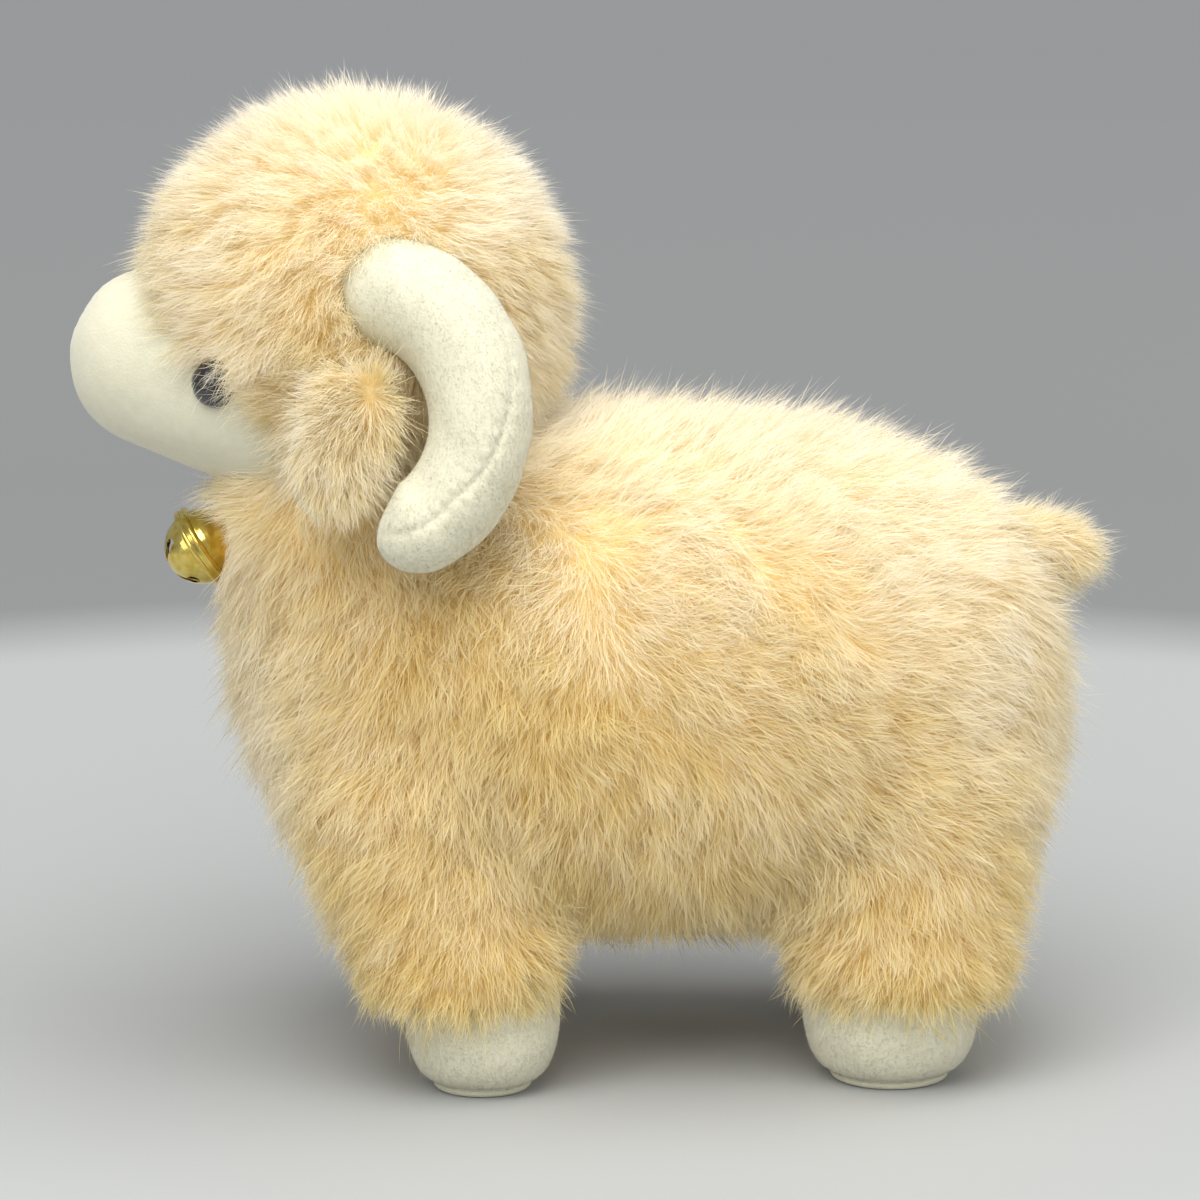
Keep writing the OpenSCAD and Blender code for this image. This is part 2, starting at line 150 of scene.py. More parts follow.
def round_angles(count: int) -> Array:
    """Angles of points spread evenly round a circle."""
    return np.arange(count) * 2 * np.pi / count


def rays_at(leans: Array, turns: Array) -> Array:
    """Unit rays, one for each lean away from straight ahead and each turn from the right side upwards."""
    lean, turn = np.meshgrid(leans, turns, indexing="ij")
    rays = np.stack([-np.cos(lean), np.sin(lean) * np.cos(turn), np.sin(lean) * np.sin(turn)], 2)
    return rays.reshape(-1, 3)


# Random fields


@dataclass(frozen=True)
class Ripple:
    """A smooth random field: the sum of sine waves of random direction, length and phase.

    Args:
        seed: Picks the waves.
        size: Usual length of a wave.
        waves: How many waves are summed.
        rates: Slowest and fastest wave, as shares of the usual one.
    """

    seed: int
    size: float
    waves: int = 9
    rates: Pair = (0.6, 1.6)

    def at(self, points: Array) -> Array:
        """Value of the field at each point, mostly between -1 and 1."""
        rng = np.random.default_rng(self.seed)
        headings = unit(rng.normal(size=(self.waves, 3)))
        rates = 2 * np.pi / self.size * rng.uniform(*self.rates, self.waves)
        phases = rng.uniform(0, 2 * np.pi, self.waves)
        waves = np.sin(points @ (headings * rates[:, None]).T + phases)
        return waves.sum(1) / math.sqrt(2 * self.waves)


COMB_WANDER = Ripple(seed=5, size=42.0)
TONE_DRIFT = Ripple(seed=17, size=30.0)
CELL_PRIMES = np.array([73856093, 19349663, 83492791])
SEED_PRIME = 7919
THROW_PRIME = 104729
MIXING = ((13, 1274126177), (16, 69069))
WORD = 0xFFFFFFFF


@dataclass(frozen=True)
class Locks:
    """Tufts: each hair belongs to the nearest point of a cubic lattice whose points are shaken.

    Args:
        seed: Picks how the points are shaken.
        size: Distance between neighbouring tufts.
    """

    seed: int
    size: float

    def dice(self, cells: Array, throw: int) -> Array:
        """A repeatable number from 0 to 1 for each lattice cell, by mixing its three whole numbers."""
        mixed = np.bitwise_xor.reduce(cells * CELL_PRIMES, axis=1)
        mixed = (mixed ^ (self.seed * SEED_PRIME + throw * THROW_PRIME)) & WORD
        for shift, factor in MIXING:
            mixed = ((mixed ^ (mixed >> shift)) * factor) & WORD
        return (mixed >> 8) / float(1 << 24)

    def gather(self, points: Array) -> tuple[Array, Array]:
        """Finds each point's tuft among the 27 cells round it.

        Args:
            points: Roots of the hairs.

        Returns:
            The middle of each root's tuft, and four random numbers that its tuft shares.
        """
        home = np.floor(points / self.size).astype(np.int64)
        best = np.full(len(points), np.inf)
        middle = np.zeros_like(points)
        owner = np.zeros_like(home)
        for shift in np.ndindex(3, 3, 3):
            cells = home + np.array(shift) - 1
            shake = np.stack([self.dice(cells, throw) for throw in range(3)], 1)
            spots = (cells + shake) * self.size
            away = ((points - spots) ** 2).sum(1)
            nearer = away < best
            best = np.where(nearer, away, best)
            middle[nearer] = spots[nearer]
            owner[nearer] = cells[nearer]
        shared = np.stack([self.dice(owner, throw) for throw in range(3, 7)], 1)
        return middle, shared


# Solid forms, as distances


@dataclass(frozen=True)
class Blob:
    """An ellipsoid made squarer along its length and round its section.

    Args:
        centre: Middle of the form.
        half: Half of its length, width and height.
        along: Exponent along the length, 2 for an ellipse.
        around: Exponent round the section, 2 for an ellipse.
        short: Share of the length that the front half has.
    """

    centre: Array
    half: Array
    along: float
    around: float
    short: float = 1.0

    def depth(self, points: Array) -> Array:
        """Distance outside the form, measured along the line to its middle."""
        away = points - self.centre
        share = np.abs(away / self.half)
        share[:, 0] = np.where(away[:, 0] < 0, share[:, 0] / self.short, share[:, 0])
        section = share[:, 1] ** self.around + share[:, 2] ** self.around
        grown = (share[:, 0] ** self.along + section ** (self.along / self.around)) ** (1 / self.along)
        return np.linalg.norm(away, axis=1) * (1 - 1 / np.maximum(grown, 1e-6))


@dataclass(frozen=True)
class Cone:
    """A rounded cone: the space swept by a ball that moves and changes size.

    Args:
        start: Middle of the first ball.
        start_r: Its radius.
        end: Middle of the last ball.
        end_r: Its radius.
    """

    start: Array
    start_r: float
    end: Array
    end_r: float

    def depth(self, points: Array) -> Array:
        """Distance outside the nearest ball on the line between the two middles."""
        axis = self.end - self.start
        share = np.clip((points - self.start) @ axis / (axis @ axis), 0, 1)
        radius = self.start_r + share * (self.end_r - self.start_r)
        return np.linalg.norm(points - self.start - share[:, None] * axis, axis=1) - radius


@dataclass(frozen=True)
class Joined:
    """Forms that run softly into each other.

    Args:
        forms: The forms.
        soft: Width of the soft joint, where the smallest of the distances is rounded off.
    """

    forms: tuple
    soft: float

    def depth(self, points: Array) -> Array:
        """Soft minimum of the forms' distances: the logarithm of a sum of falling exponentials."""
        depths = np.stack([form.depth(points) for form in self.forms])
        least = depths.min(0)
        return least - self.soft * np.log(np.exp((least - depths) / self.soft).sum(0))

    def slope(self, points: Array, step: float = 0.4) -> Array:
        """Direction in which the distance grows, from differences along the three axes."""
        shifts = np.eye(3) * step
        return np.stack([self.depth(points + s) - self.depth(points - s) for s in shifts], 1) / (2 * step)

    def settled(self, points: Array, passes: int = 2) -> tuple[Array, Array]:
        """Moves points onto the surface down the slope of the distance.

        Args:
            points: Points near the surface.
            passes: How often they are moved.

        Returns:
            The points on the surface, and the surface's normals there.
        """
        for _ in range(passes):
            slope = self.slope(points)
            points = points - slope * (self.depth(points) / dot(slope, slope)[:, 0])[:, None]
        return points, unit(self.slope(points))


@dataclass(frozen=True)
class Hull:
    """A tight skin over several balls.

    Args:
        centres: Middles of the balls.
        radii: Their radii.
        heart: A point well inside.
        planes: How many touching planes stand for the skin.
        grazing: Least cosine between a ray and a plane's normal for the plane to count.
        block: How many rays are followed at once.
    """

    centres: Array
    radii: Array
    heart: Array
    planes: int = 2600
    grazing: float = 0.08
    block: int = 4000

    def reach(self, rays: Array) -> Array:
        """Distance from the heart to the skin along each ray.

        Planes that touch the balls face evenly in all directions, laid out on a spiral over a sphere.
        Along a ray the skin is at the nearest of those planes.

        Args:
            rays: Unit directions.

        Returns:
            One distance for each ray.
        """
        count = np.arange(self.planes) + 0.5
        height = 1 - 2 * count / self.planes
        turn = np.pi * (1 + math.sqrt(5)) * count
        ring = np.sqrt(1 - height**2)
        facing = np.stack([ring * np.cos(turn), ring * np.sin(turn), height], 1)
        gaps = (facing @ self.centres.T + self.radii).max(1) - facing @ self.heart
        found = []
        for block in np.array_split(rays, max(1, len(rays) // self.block)):
            lean = block @ facing.T
            reach = gaps / np.maximum(lean, self.grazing)
            found.append(np.where(lean > self.grazing, reach, np.inf).min(1))
        return np.concatenate(found)

    def clear(self, points: Array, clearance: float) -> Array:
        """Which points are outside the skin by more than the clearance."""
        moved = np.linalg.norm(self.pushed_out(points, clearance) - points, axis=1)
        return moved < 1e-6

    def pushed_out(self, points: Array, clearance: float) -> Array:
        """Points inside the skin, or too near it, moved out along their rays from the heart."""
        away = points - self.heart
        distance = np.linalg.norm(away, axis=1)
        bound = (np.linalg.norm(self.centres - self.heart, axis=1) + self.radii).max() + clearance
        close = distance < bound
        rays = away[close] / np.maximum(distance[close], 1e-6)[:, None]
        least = np.maximum(distance[close], self.reach(rays) + clearance)
        moved = points.copy()
        moved[close] = self.heart + rays * least[:, None]
        return moved


# Surfaces


@dataclass
class Roots:
    """Places where hairs grow, with the surface's normals there."""

    points: Array
    normals: Array

    def kept(self, mask: Array) -> "Roots":
        """Only the roots that the mask names."""
        return Roots(self.points[mask], self.normals[mask])


@dataclass
class Skin:
    """A surface of triangles, in millimetres."""

    points: Array
    faces: Array

    def normals(self) -> Array:
        """Normals at the points: the sum of the touching triangles' normals, by area."""
        a, b, c = (self.points[self.faces[:, k]] for k in range(3))
        across = np.cross(b - a, c - a)
        total = np.zeros_like(self.points)
        for k in range(3):
            np.add.at(total, self.faces[:, k], across)
        return unit(total)

    def middles(self) -> Array:
        """Middle of each triangle."""
        return self.points[self.faces].mean(1)

    def part(self, mask: Array) -> "Skin":
        """The triangles that the mask names, with only the points that they need."""
        used, faces = np.unique(self.faces[mask], return_inverse=True)
        return Skin(self.points[used], faces.reshape(-1, 3))

    def on(self, side: Side) -> "Skin":
        """A right-hand surface put on the given side, where it faces outwards again."""
        return self if side is Side.RIGHT else Skin(self.points * MIRROR, self.faces[:, ::-1])

    def scatter(self, density: float, rng: Random) -> Roots:
        """Args:
            density: Places to the square millimetre.
            rng: Source of the random numbers.

        Returns:
            The places, with normals blended from the triangles' corners.
        """
        corners = self.points[self.faces]
        edges = corners[:, 1:] - corners[:, :1]
        sizes = np.linalg.norm(np.cross(edges[:, 0], edges[:, 1]), axis=1)
        count = int(sizes.sum() / 2 * density * (1.0))
        picked = rng.choice(len(self.faces), count, p=sizes / sizes.sum())
        near = np.sqrt(rng.random(count))
        far = rng.random(count)
        shares = np.stack([1 - near, near * (1 - far), near * far], 1)[:, :, None]
        normals = self.normals()[self.faces[picked]]
        return Roots((corners[picked] * shares).sum(1), unit((normals * shares).sum(1)))


def sheet(grid: Array) -> Skin:
    """An open surface over a grid of points, with two triangles for each cell."""
    rows, columns = grid.shape[:2]
    first = (np.arange(rows - 1)[:, None] * columns + np.arange(columns - 1)).ravel()
    return Skin(grid.reshape(-1, 3), np.concatenate([
        np.stack([first, first + 1, first + columns + 1], 1),
        np.stack([first, first + columns + 1, first + columns], 1),
    ]))


def tube(grid: Array) -> Skin:
    """A closed surface over rings of points: the columns join round, and a fan closes each end.

    Args:
        grid: Rows of rings, each ring a row of points that turns left when seen along the rows.

    Returns:
        The closed surface.
    """
    rows, columns = grid.shape[:2]
    start = np.arange(rows - 1)[:, None] * columns
    here, there = np.arange(columns), (np.arange(columns) + 1) % columns
    a, b = (start + here).ravel(), (start + there).ravel()
    ends = rows * columns
    last = (rows - 1) * columns
    faces = np.concatenate([
        np.stack([a, b, b + columns], 1),
        np.stack([a, b + columns, a + columns], 1),
        np.stack([np.full(columns, ends), there, here], 1),
        np.stack([np.full(columns, ends + 1), last + here, last + there], 1),
    ])
    caps = np.stack([grid[0].mean(0), grid[-1].mean(0)])
    return Skin(np.vstack([grid.reshape(-1, 3), caps]), faces)


def turned(radii: Array, heights: Array, columns: int) -> Array:
    """Grid of a profile turned about the Z axis, ring by ring."""
    turn = round_angles(columns)
    ring = np.stack([np.cos(turn), np.sin(turn)], 1)
    flat = radii[:, None, None] * ring[None]
    level = np.broadcast_to(heights[:, None, None], (len(heights), columns, 1))
    return np.concatenate([flat, level], 2)


# Materials


class Shader:
    """A new material with one Principled surface, and a few helpers to feed it."""

    def __init__(self, name: str) -> None:
        """Starts the material of that name."""
        self.material = bpy.data.materials.new(name)
        self.material.use_nodes = True
        self.tree = self.material.node_tree
        self.surface = self.tree.nodes["Principled BSDF"]

    def node(self, kind: str, **values) -> Node:
        """A new node, with its properties or inputs set by name."""
        made = self.tree.nodes.new(kind)
        for key, value in values.items():
            if key in made.inputs:
                made.inputs[key].default_value = value
            else:
                setattr(made, key, value)
        return made

    def link(self, start: Socket, end: Socket | str) -> None:
        """Joins an output to an input, or to the surface's input of that name."""
        self.tree.links.new(start, self.surface.inputs[end] if isinstance(end, str) else end)

    def ramp(self, source: Socket, stops: Iterable[tuple[float, Colour]]) -> Socket:
        """Colours for a number, through the given places and colours."""
        stops = list(stops)
        made = self.node("ShaderNodeValToRGB")
        while len(made.color_ramp.elements) < len(stops):
            made.color_ramp.elements.new(0.5)
        for element, (place, colour) in zip(made.color_ramp.elements, stops):
            element.position = place
            element.color = (*colour, 1)
        self.link(source, made.inputs["Fac"])
        return made.outputs["Color"]

    def noise(self, grain: float, detail: float) -> Socket:
        """A noise on the piece's own coordinates, with a grain size in millimetres."""
        place = self.node("ShaderNodeTexCoord")
        made = self.node("ShaderNodeTexNoise", Scale=1 / (grain * MM), Detail=detail)
        self.link(place.outputs["Object"], made.inputs["Vector"])
        return made.outputs["Fac"]

    def feed(self, values: tuple[tuple[str, float], ...]) -> None:
        """Sets numbers on the surface's own sockets."""
        for name, value in values:
            self.surface.inputs[name].default_value = value


@dataclass(frozen=True)
class Finish:
    """What a surface looks like.

    Args:
        name: Name of its material.
    """

    name: str


@dataclass(frozen=True)
class FurFinish(Finish):
    """Long synthetic fur, coloured along each hair and from hair to hair by the hair's own map.

    Args:
        deep: Colours at root, middle and tip of the warmest hairs.
        pale: The same for the palest hairs.
        rough: Roughness of a hair.
        sheen: Weight of the soft sheen at grazing angles.
        through: Share of the light that passes through a hair.
        places: Where root, middle and tip are along a hair.
    """

    deep: tuple[Colour, Colour, Colour]
    pale: tuple[Colour, Colour, Colour]
    rough: float = 0.62
    sheen: float = 0.25
    through: float = 0.5
    places: Triple = (0.0, 0.45, 1.0)

    def material(self) -> Material:
        """Ramps along the hair for the deep and the pale coat, mixed by the hair's tone.

        Part of the light passes through, so that the coat glows softly from within.
        """
        shader = Shader(self.name)
        spot = shader.node("ShaderNodeUVMap", uv_map=STRAND_MAP)
        split = shader.node("ShaderNodeSeparateXYZ")
        shader.link(spot.outputs["UV"], split.inputs["Vector"])
        mixed = shader.node("ShaderNodeMix", data_type="RGBA")
        for colours, socket in ((self.deep, mixed.inputs[6]), (self.pale, mixed.inputs[7])):
            shader.link(shader.ramp(split.outputs["X"], zip(self.places, colours)), socket)
        shader.link(split.outputs["Y"], mixed.inputs[0])
        shader.link(mixed.outputs[2], "Base Color")
        shader.feed((("Roughness", self.rough), ("Specular IOR Level", 0.3),
                     ("Sheen Weight", self.sheen), ("Sheen Roughness", 0.4)))
        glow = shader.node("ShaderNodeBsdfTranslucent")
        shader.link(mixed.outputs[2], glow.inputs["Color"])
        both = shader.node("ShaderNodeMixShader", Fac=self.through)
        shader.link(shader.surface.outputs["BSDF"], both.inputs[1])
        shader.link(glow.outputs["BSDF"], both.inputs[2])
        shader.link(both.outputs["Shader"], shader.tree.nodes["Material Output"].inputs["Surface"])
        return shader.material


CLOTH = (("Roughness", 0.85), ("Specular IOR Level", 0.25), ("Sheen Weight", 0.35), ("Sheen Roughness", 0.5))


@dataclass(frozen=True)
class PatchFinish(Finish):
    """Two close colours in soft patches, under a fine bump: cloth, if nothing else is said.

    Args:
        dark: Colour of the deep patches.
        light: Colour of the others.
        patch: Size of the patches in millimetres.
        nap: Size of the bump's grain in millimetres.
        depth: Depth of the bump in millimetres, 0 for none.
        detail: How broken up the patches and the grain are.
        edges: Where in the noise of the patches the two colours are reached.
        values: The surface's other values, by socket.
        polish: Roughness of the deep patches and of the others, where it differs.
    """

    dark: Colour
    light: Colour
    patch: float
    nap: float = 0.7
    depth: float = 0.18
    detail: Pair = (4, 5)
    edges: Pair = (0.3, 0.7)
    values: tuple[tuple[str, float], ...] = CLOTH
    polish: Pair | None = None

    def material(self) -> Material:
        """Colours, and for metal the polish too, from one soft noise, and a bump from a second one."""
        shader = Shader(self.name)
        patches = shader.noise(self.patch, self.detail[0])
        shader.link(shader.ramp(patches, zip(self.edges, (self.dark, self.light))), "Base Color")
        if self.depth:
            bump = shader.node("ShaderNodeBump", Strength=1.0, Distance=self.depth * MM)
            shader.link(shader.noise(self.nap, self.detail[1]), bump.inputs["Height"])
            shader.link(bump.outputs["Normal"], "Normal")
        if self.polish:
            gloss = shader.node("ShaderNodeMapRange", **dict(zip(("To Min", "To Max"), self.polish)))
            shader.link(patches, gloss.inputs["Value"])
            shader.link(gloss.outputs["Result"], "Roughness")
        shader.feed(self.values)
        return shader.material


def metal(name: str, dark: Colour, light: Colour, polish: Pair) -> PatchFinish:
    """Thin pressed metal with a worn polish and shallow dents."""
    return PatchFinish(name, dark, light, patch=3.0, nap=6.0, depth=0.25, detail=(5, 1), edges=(0.35, 0.65),
                       values=(("Metallic", 1.0),), polish=polish)


def plastic(name: str, dark: Colour, light: Colour, rough: float, coat: float) -> PatchFinish:
    """Moulded plastic with a faint cloudiness under a clear coat."""
    values = (("Roughness", rough), ("Coat Weight", coat), ("Coat Roughness", 0.03))
    return PatchFinish(name, dark, light, patch=2.5, depth=0.0, detail=(2, 0), edges=(0.4, 0.7),
                       values=values)


@dataclass(frozen=True)
class PaperFinish(Finish):
    """Matt paper of a floor with painted light and shade: pale round the object, darker in a band further
    out, and paler again far away.

    Args:
        stops: Distances from the middle in metres, each with the brightness there.
        tint: Colour of the paper.
        far: Distance at which the last brightness is held.
    """

    stops: tuple[Pair, ...]
    tint: Colour
    far: float = 4.0

    def material(self) -> Material:
        """Colour from the distance to the middle of the floor."""
        shader = Shader(self.name)
        place = shader.node("ShaderNodeTexCoord")
        away = shader.node("ShaderNodeVectorMath", operation="LENGTH")
        shader.link(place.outputs["Object"], away.inputs[0])
        share = shader.node("ShaderNodeMath", operation="DIVIDE")
        share.inputs[1].default_value = self.far
        shader.link(away.outputs["Value"], share.inputs[0])
        levels = [(reach / self.far, tuple(level * part for part in self.tint))
                  for reach, level in self.stops]
        shader.link(shader.ramp(share.outputs["Value"], levels), "Base Color")
        shader.feed((("Roughness", 0.6), ("Specular IOR Level", 0.2)))
        return shader.material


PAPER = PaperFinish(
    "floor_paper",
    # Painted light and shade: the darker band from 0.7 metres out and the paler floor beyond it stand for
    # the shade and light of a backdrop.
    stops=((0.2, 0.42), (0.60, 0.50), (0.70, 0.28), (1.0, 0.315), (1.6, 0.42), (2.5, 0.57), (3.6, 0.70)),
    tint=(0.97, 1.0, 1.01),
)
# Each hair is darker and warmer towards its root: partly the fur's own colour, partly painted shade deep in
# the coat.
FUR = FurFinish(
    "cream_fur",
    deep=((0.86, 0.63, 0.22), (0.91, 0.76, 0.35), (0.97, 0.88, 0.58)),
    pale=((0.95, 0.83, 0.54), (0.98, 0.915, 0.75), (1.0, 0.98, 0.93)),
)
NAP = FurFinish(
    "white_nap",
    deep=((0.60, 0.58, 0.44), (0.63, 0.61, 0.475), (0.67, 0.65, 0.51)),
    pale=((0.65, 0.63, 0.495), (0.69, 0.67, 0.53), (0.74, 0.72, 0.58)),
    rough=0.8,
)
BACKING = PatchFinish("fur_backing", (0.88, 0.65, 0.27), (0.93, 0.75, 0.39), patch=8.0, depth=0.3)
PLUSH = PatchFinish("white_plush", (0.63, 0.61, 0.465), (0.67, 0.65, 0.505), patch=3.0)
FIBRE = PatchFinish("fibre_filling", (0.80, 0.80, 0.79), (0.92, 0.92, 0.91), patch=9.0, nap=1.6, depth=0.8)
THREAD = PatchFinish("beige_thread", (0.62, 0.50, 0.34), (0.76, 0.65, 0.48), patch=0.8, nap=0.35, depth=0.2)
BRASS = metal("bell_brass", (0.62, 0.46, 0.09), (0.82, 0.66, 0.20), polish=(0.22, 0.10))
STEEL = metal("pellet_steel", (0.42, 0.42, 0.43), (0.62, 0.62, 0.63), polish=(0.35, 0.18))
BLACK = plastic("eye_black", (0.006, 0.005, 0.006), (0.016, 0.013, 0.014), rough=0.12, coat=1.0)
WASHER = plastic("washer_plastic", (0.72, 0.72, 0.70), (0.82, 0.82, 0.80), rough=0.45, coat=0.0)


@cache
def material_of(finish: Finish) -> Material:
    """The material of a finish, made once and then handed out again."""
    return finish.material()


# Pieces


@dataclass(frozen=True)
class Piece:
    """How a surface becomes a piece of the object.

    Args:
        name: Name of the piece.
        body: Body of the frame that it rides on.
        finish: Its finish.
        slot: The record's slot of that finish; not used.
        nodes: Nodes of the frame that it stands for.
        fill: How tightly it is stuffed, or None; not used.
        cloth: Thickness of the cloth that is laid inside the surface, or 0.
    """

    name: str
    body: str
    finish: Finish
    slot: Slot
    nodes: tuple[str, ...] = ()
    fill: float | None = None
    cloth: float = 0.0

    def add(self, skin: Skin) -> bpy.types.Object:
        """Puts a surface into the scene as this piece.

        Args:
            skin: The surface.

        Returns:
            The new object, riding on its body.
        """
        faces = skin.faces
        mesh = bpy.data.meshes.new(self.name)
        mesh.vertices.add(len(skin.points))
        mesh.vertices.foreach_set("co", (skin.points * MM).astype(np.float32).ravel())
        mesh.loops.add(faces.size)
        mesh.loops.foreach_set("vertex_index", faces.astype(np.int32).ravel())
        mesh.polygons.add(len(faces))
        mesh.polygons.foreach_set("loop_start", np.arange(0, faces.size, 3, dtype=np.int32))
        mesh.polygons.foreach_set("use_smooth", np.ones(len(faces), bool))
        mesh.update(calc_edges=True)
        mesh.materials.append(material_of(self.finish))
        made = bpy.data.objects.new(self.name, mesh)
        bpy.context.scene.collection.objects.link(made)
        if self.cloth:
            wall = made.modifiers.new("cloth", "SOLIDIFY")
            wall.thickness = self.cloth * MM
            wall.offset = -1
        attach(made, self.body)
        if self.nodes:
            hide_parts(*self.nodes)
        LOG.info("%s: %d triangles on %s", self.name, len(faces), self.body)
        return made


def backing(skin: Skin, name: str, body: str, fill: float, cloth: float = 0.0) -> None:
    """Adds the cloth under a node's fur.

    Args:
        skin: Its surface.
        name: The node that it stands for.
        body: Body that it rides on.
        fill: How tightly it is stuffed.
        cloth: Its thickness, or 0 for a closed surface.
    """
    Piece(f"{name}_cloth", body, BACKING, Slot.FUR, (name,), fill, cloth).add(skin)


# Fur


@dataclass(frozen=True)
class Stroke:
    """One stroke of the comb.

    Args:
        at: Where it passes, on the left side.
        towards: Which way it lays the hairs.
        reach: How far it works.
        lift: How far the hairs stand up there, from 0 to about 1.
    """

    at: Triple
    towards: Triple
    reach: float
    lift: float = 0.42


@dataclass(frozen=True)
class Comb:
    """Which way the hairs of a coat lie. The strokes are mirrored to the right side.

    Args:
        strokes: The strokes, whose pull falls off like a bell curve. Short ones pull harder.
        base: Which way hairs lie far from every stroke.
        base_lift: How far they stand up there.
        base_pull: How hard that pulls, against the strokes.
        hang: Share of straight down in every direction.
        wander: Degrees by which the direction wanders over the coat.
        loft: Lift that the whole coat has on top.
    """

    strokes: tuple[Stroke, ...]
    base: Triple = (0.25, 0.0, -1.0)
    base_lift: float = 0.45
    base_pull: float = 0.002
    hang: float = 0.02
    wander: float = 16.0
    loft: float = 0.0

    def laid(self, roots: Roots) -> tuple[Array, Array]:
        """Direction and lift of the hairs at their roots.

        Args:
            roots: Where they grow.

        Returns:
            Unit directions along the surface, and lifts.
        """
        sides = np.where(roots.points[:, 1:2] > 0, -1.0, 1.0)
        flip = np.concatenate([np.ones_like(sides), sides, np.ones_like(sides)], 1)
        folded = roots.points * flip
        pull = np.full((len(folded), 1), self.base_pull)
        flow = pull * np.array(self.base)
        lift = pull[:, 0] * self.base_lift
        for stroke in self.strokes:
            away = ((folded - np.array(stroke.at)) ** 2).sum(1, keepdims=True)
            weight = np.exp(-away / (2 * stroke.reach**2)) / stroke.reach
            flow = flow + weight * unit(np.array(stroke.towards))
            lift = lift + weight[:, 0] * stroke.lift
            pull = pull + weight
        flow = unit(flattened(unit(flow * flip) + self.hang * DOWN, roots.normals))
        angle = np.radians(self.wander) * COMB_WANDER.at(roots.points)
        return swung(flow, roots.normals, angle), lift / pull[:, 0] + self.loft


def swung(vectors: Array, axes: Array, angles: Array) -> Array:
    """Vectors turned about axes that stand square to them."""
    return vectors * np.cos(angles)[:, None] + np.cross(axes, vectors) * np.sin(angles)[:, None]


@dataclass
class Strands:
    """Hairs as tapered blades, ready to become a mesh.

    Args:
        lines: Points along the middle of each hair.
        sides: Direction across each hair.
        widths: Half widths, hair by hair and point by point.
        normals: Shading normals, hair by hair.
        tones: One number from 0, deep, to 1, pale, for each hair.
        pointed: Whether a hair starts in a point, or as wide as its first width says.
    """

    lines: Array
    sides: Array
    widths: Array
    normals: Array
    tones: Array
    pointed: bool = True

    def kept(self, mask: Array) -> "Strands":
        """Only the hairs that the mask names."""
        parts = (self.lines, self.sides, self.widths, self.normals, self.tones)
        return Strands(*(part[mask] for part in parts), self.pointed)

    def blades(self) -> tuple[Array, Array, Array, Array]:
        """Two points across the hair at each station, and one at the tip and at a pointed root.

        The map's first axis runs from root to tip, and its second one is the hair's tone.

        Returns:
            Points, triangles, map places and normals.
        """
        count, stations = self.lines.shape[:2]
        across = self.sides[:, None, :] * self.widths[:, :, None]
        first = int(self.pointed)
        pairs = np.stack([self.lines - across, self.lines + across], 2)[:, first:-1].reshape(count, -1, 3)
        points = np.concatenate([self.lines[:, :first], pairs, self.lines[:, -1:]], 1)
        corners = points.shape[1]
        rungs = first + 2 * np.arange(stations - first - 2)[:, None, None]
        steps = (rungs + np.array([[0, 1, 2], [1, 3, 2]])).reshape(-1, 3)
        root = np.array([[0, 2, 1]])[:first]
        pattern = np.concatenate([root, steps, [[corners - 3, corners - 2, corners - 1]]])
        faces = (np.arange(count)[:, None, None] * corners + pattern).reshape(-1, 3)
        margin, across_map = 0.03, 0.02
        along = np.linspace(margin, 1 - margin, stations)
        aside = np.tile([-across_map, across_map], stations - first - 1)
        spots = np.empty((count, corners, 2))
        spots[:, :, 0] = np.concatenate([along[:first], np.repeat(along[first:-1], 2), along[-1:]])
        spots[:, :, 1] = self.tones[:, None] + np.concatenate([np.zeros(first), aside, [0.0]])
        return points.reshape(-1, 3), faces, spots.reshape(-1, 2), np.repeat(self.normals, corners, 0)


@dataclass
class Coat:
    """Layers of hairs that grow together."""

    layers: tuple[Strands, ...]

    def kept(self, choose: Callable[[Array], Array]) -> "Coat":
        """Only the hairs whose roots the given choice names."""
        return Coat(tuple(layer.kept(choose(layer.lines[:, 0])) for layer in self.layers))

    def pushed(self, move: Callable[[Array], Array]) -> "Coat":
        """The hairs with every point beyond the root moved."""
        for layer in self.layers:
            ends = layer.lines[:, 1:]
            layer.lines[:, 1:] = move(ends.reshape(-1, 3)).reshape(ends.shape)
        return self

    def thinned(self, near: Callable[[Array], Array], share: float, rng: Random) -> "Coat":
        """Keeps only a share of the hairs of which a point is in the way.

        Args:
            near: Tells for points along hairs which ones are in the way.
            share: Share of those hairs that stay.
            rng: Source of the random numbers.

        Returns:
            The thinner coat.
        """
        layers = []
        for layer in self.layers:
            hides = near(layer.lines).any(1)
            layers.append(layer.kept(~hides | (rng.random(len(hides)) < share)))
        return Coat(tuple(layers))

    def add(self, piece: "Piece") -> bpy.types.Object:
        """Makes one mesh of all layers.

        Args:
            piece: What they belong to.

        Returns:
            The new object.
        """
        made = [layer.blades() for layer in self.layers]
        starts = np.cumsum([0] + [len(points) for points, _, _, _ in made])
        faces = np.concatenate([part[1] + start for part, start in zip(made, starts)])
        fur = piece.add(Skin(np.concatenate([part[0] for part in made]), faces))
        spots = np.concatenate([part[2] for part in made])
        layer = fur.data.uv_layers.new(name=STRAND_MAP)
        layer.data.foreach_set("uv", spots[faces.ravel()].astype(np.float32).ravel())
        fur.data.normals_split_custom_set_from_vertices(np.concatenate([part[3] for part in made]))
        return fur


# Stations along a hair, with its width at each
FULL_HAIR = ((0.0, 0.36, 0.70, 1.0), (0.9, 1.0, 0.7, 0.0))
SHORT_HAIR = ((0.0, 0.5, 1.0), (0.9, 1.0, 0.0))
# How steeply a root without lift leaves the surface, against how far it leans
ROOT_SLOPE = (0.55, 0.75)
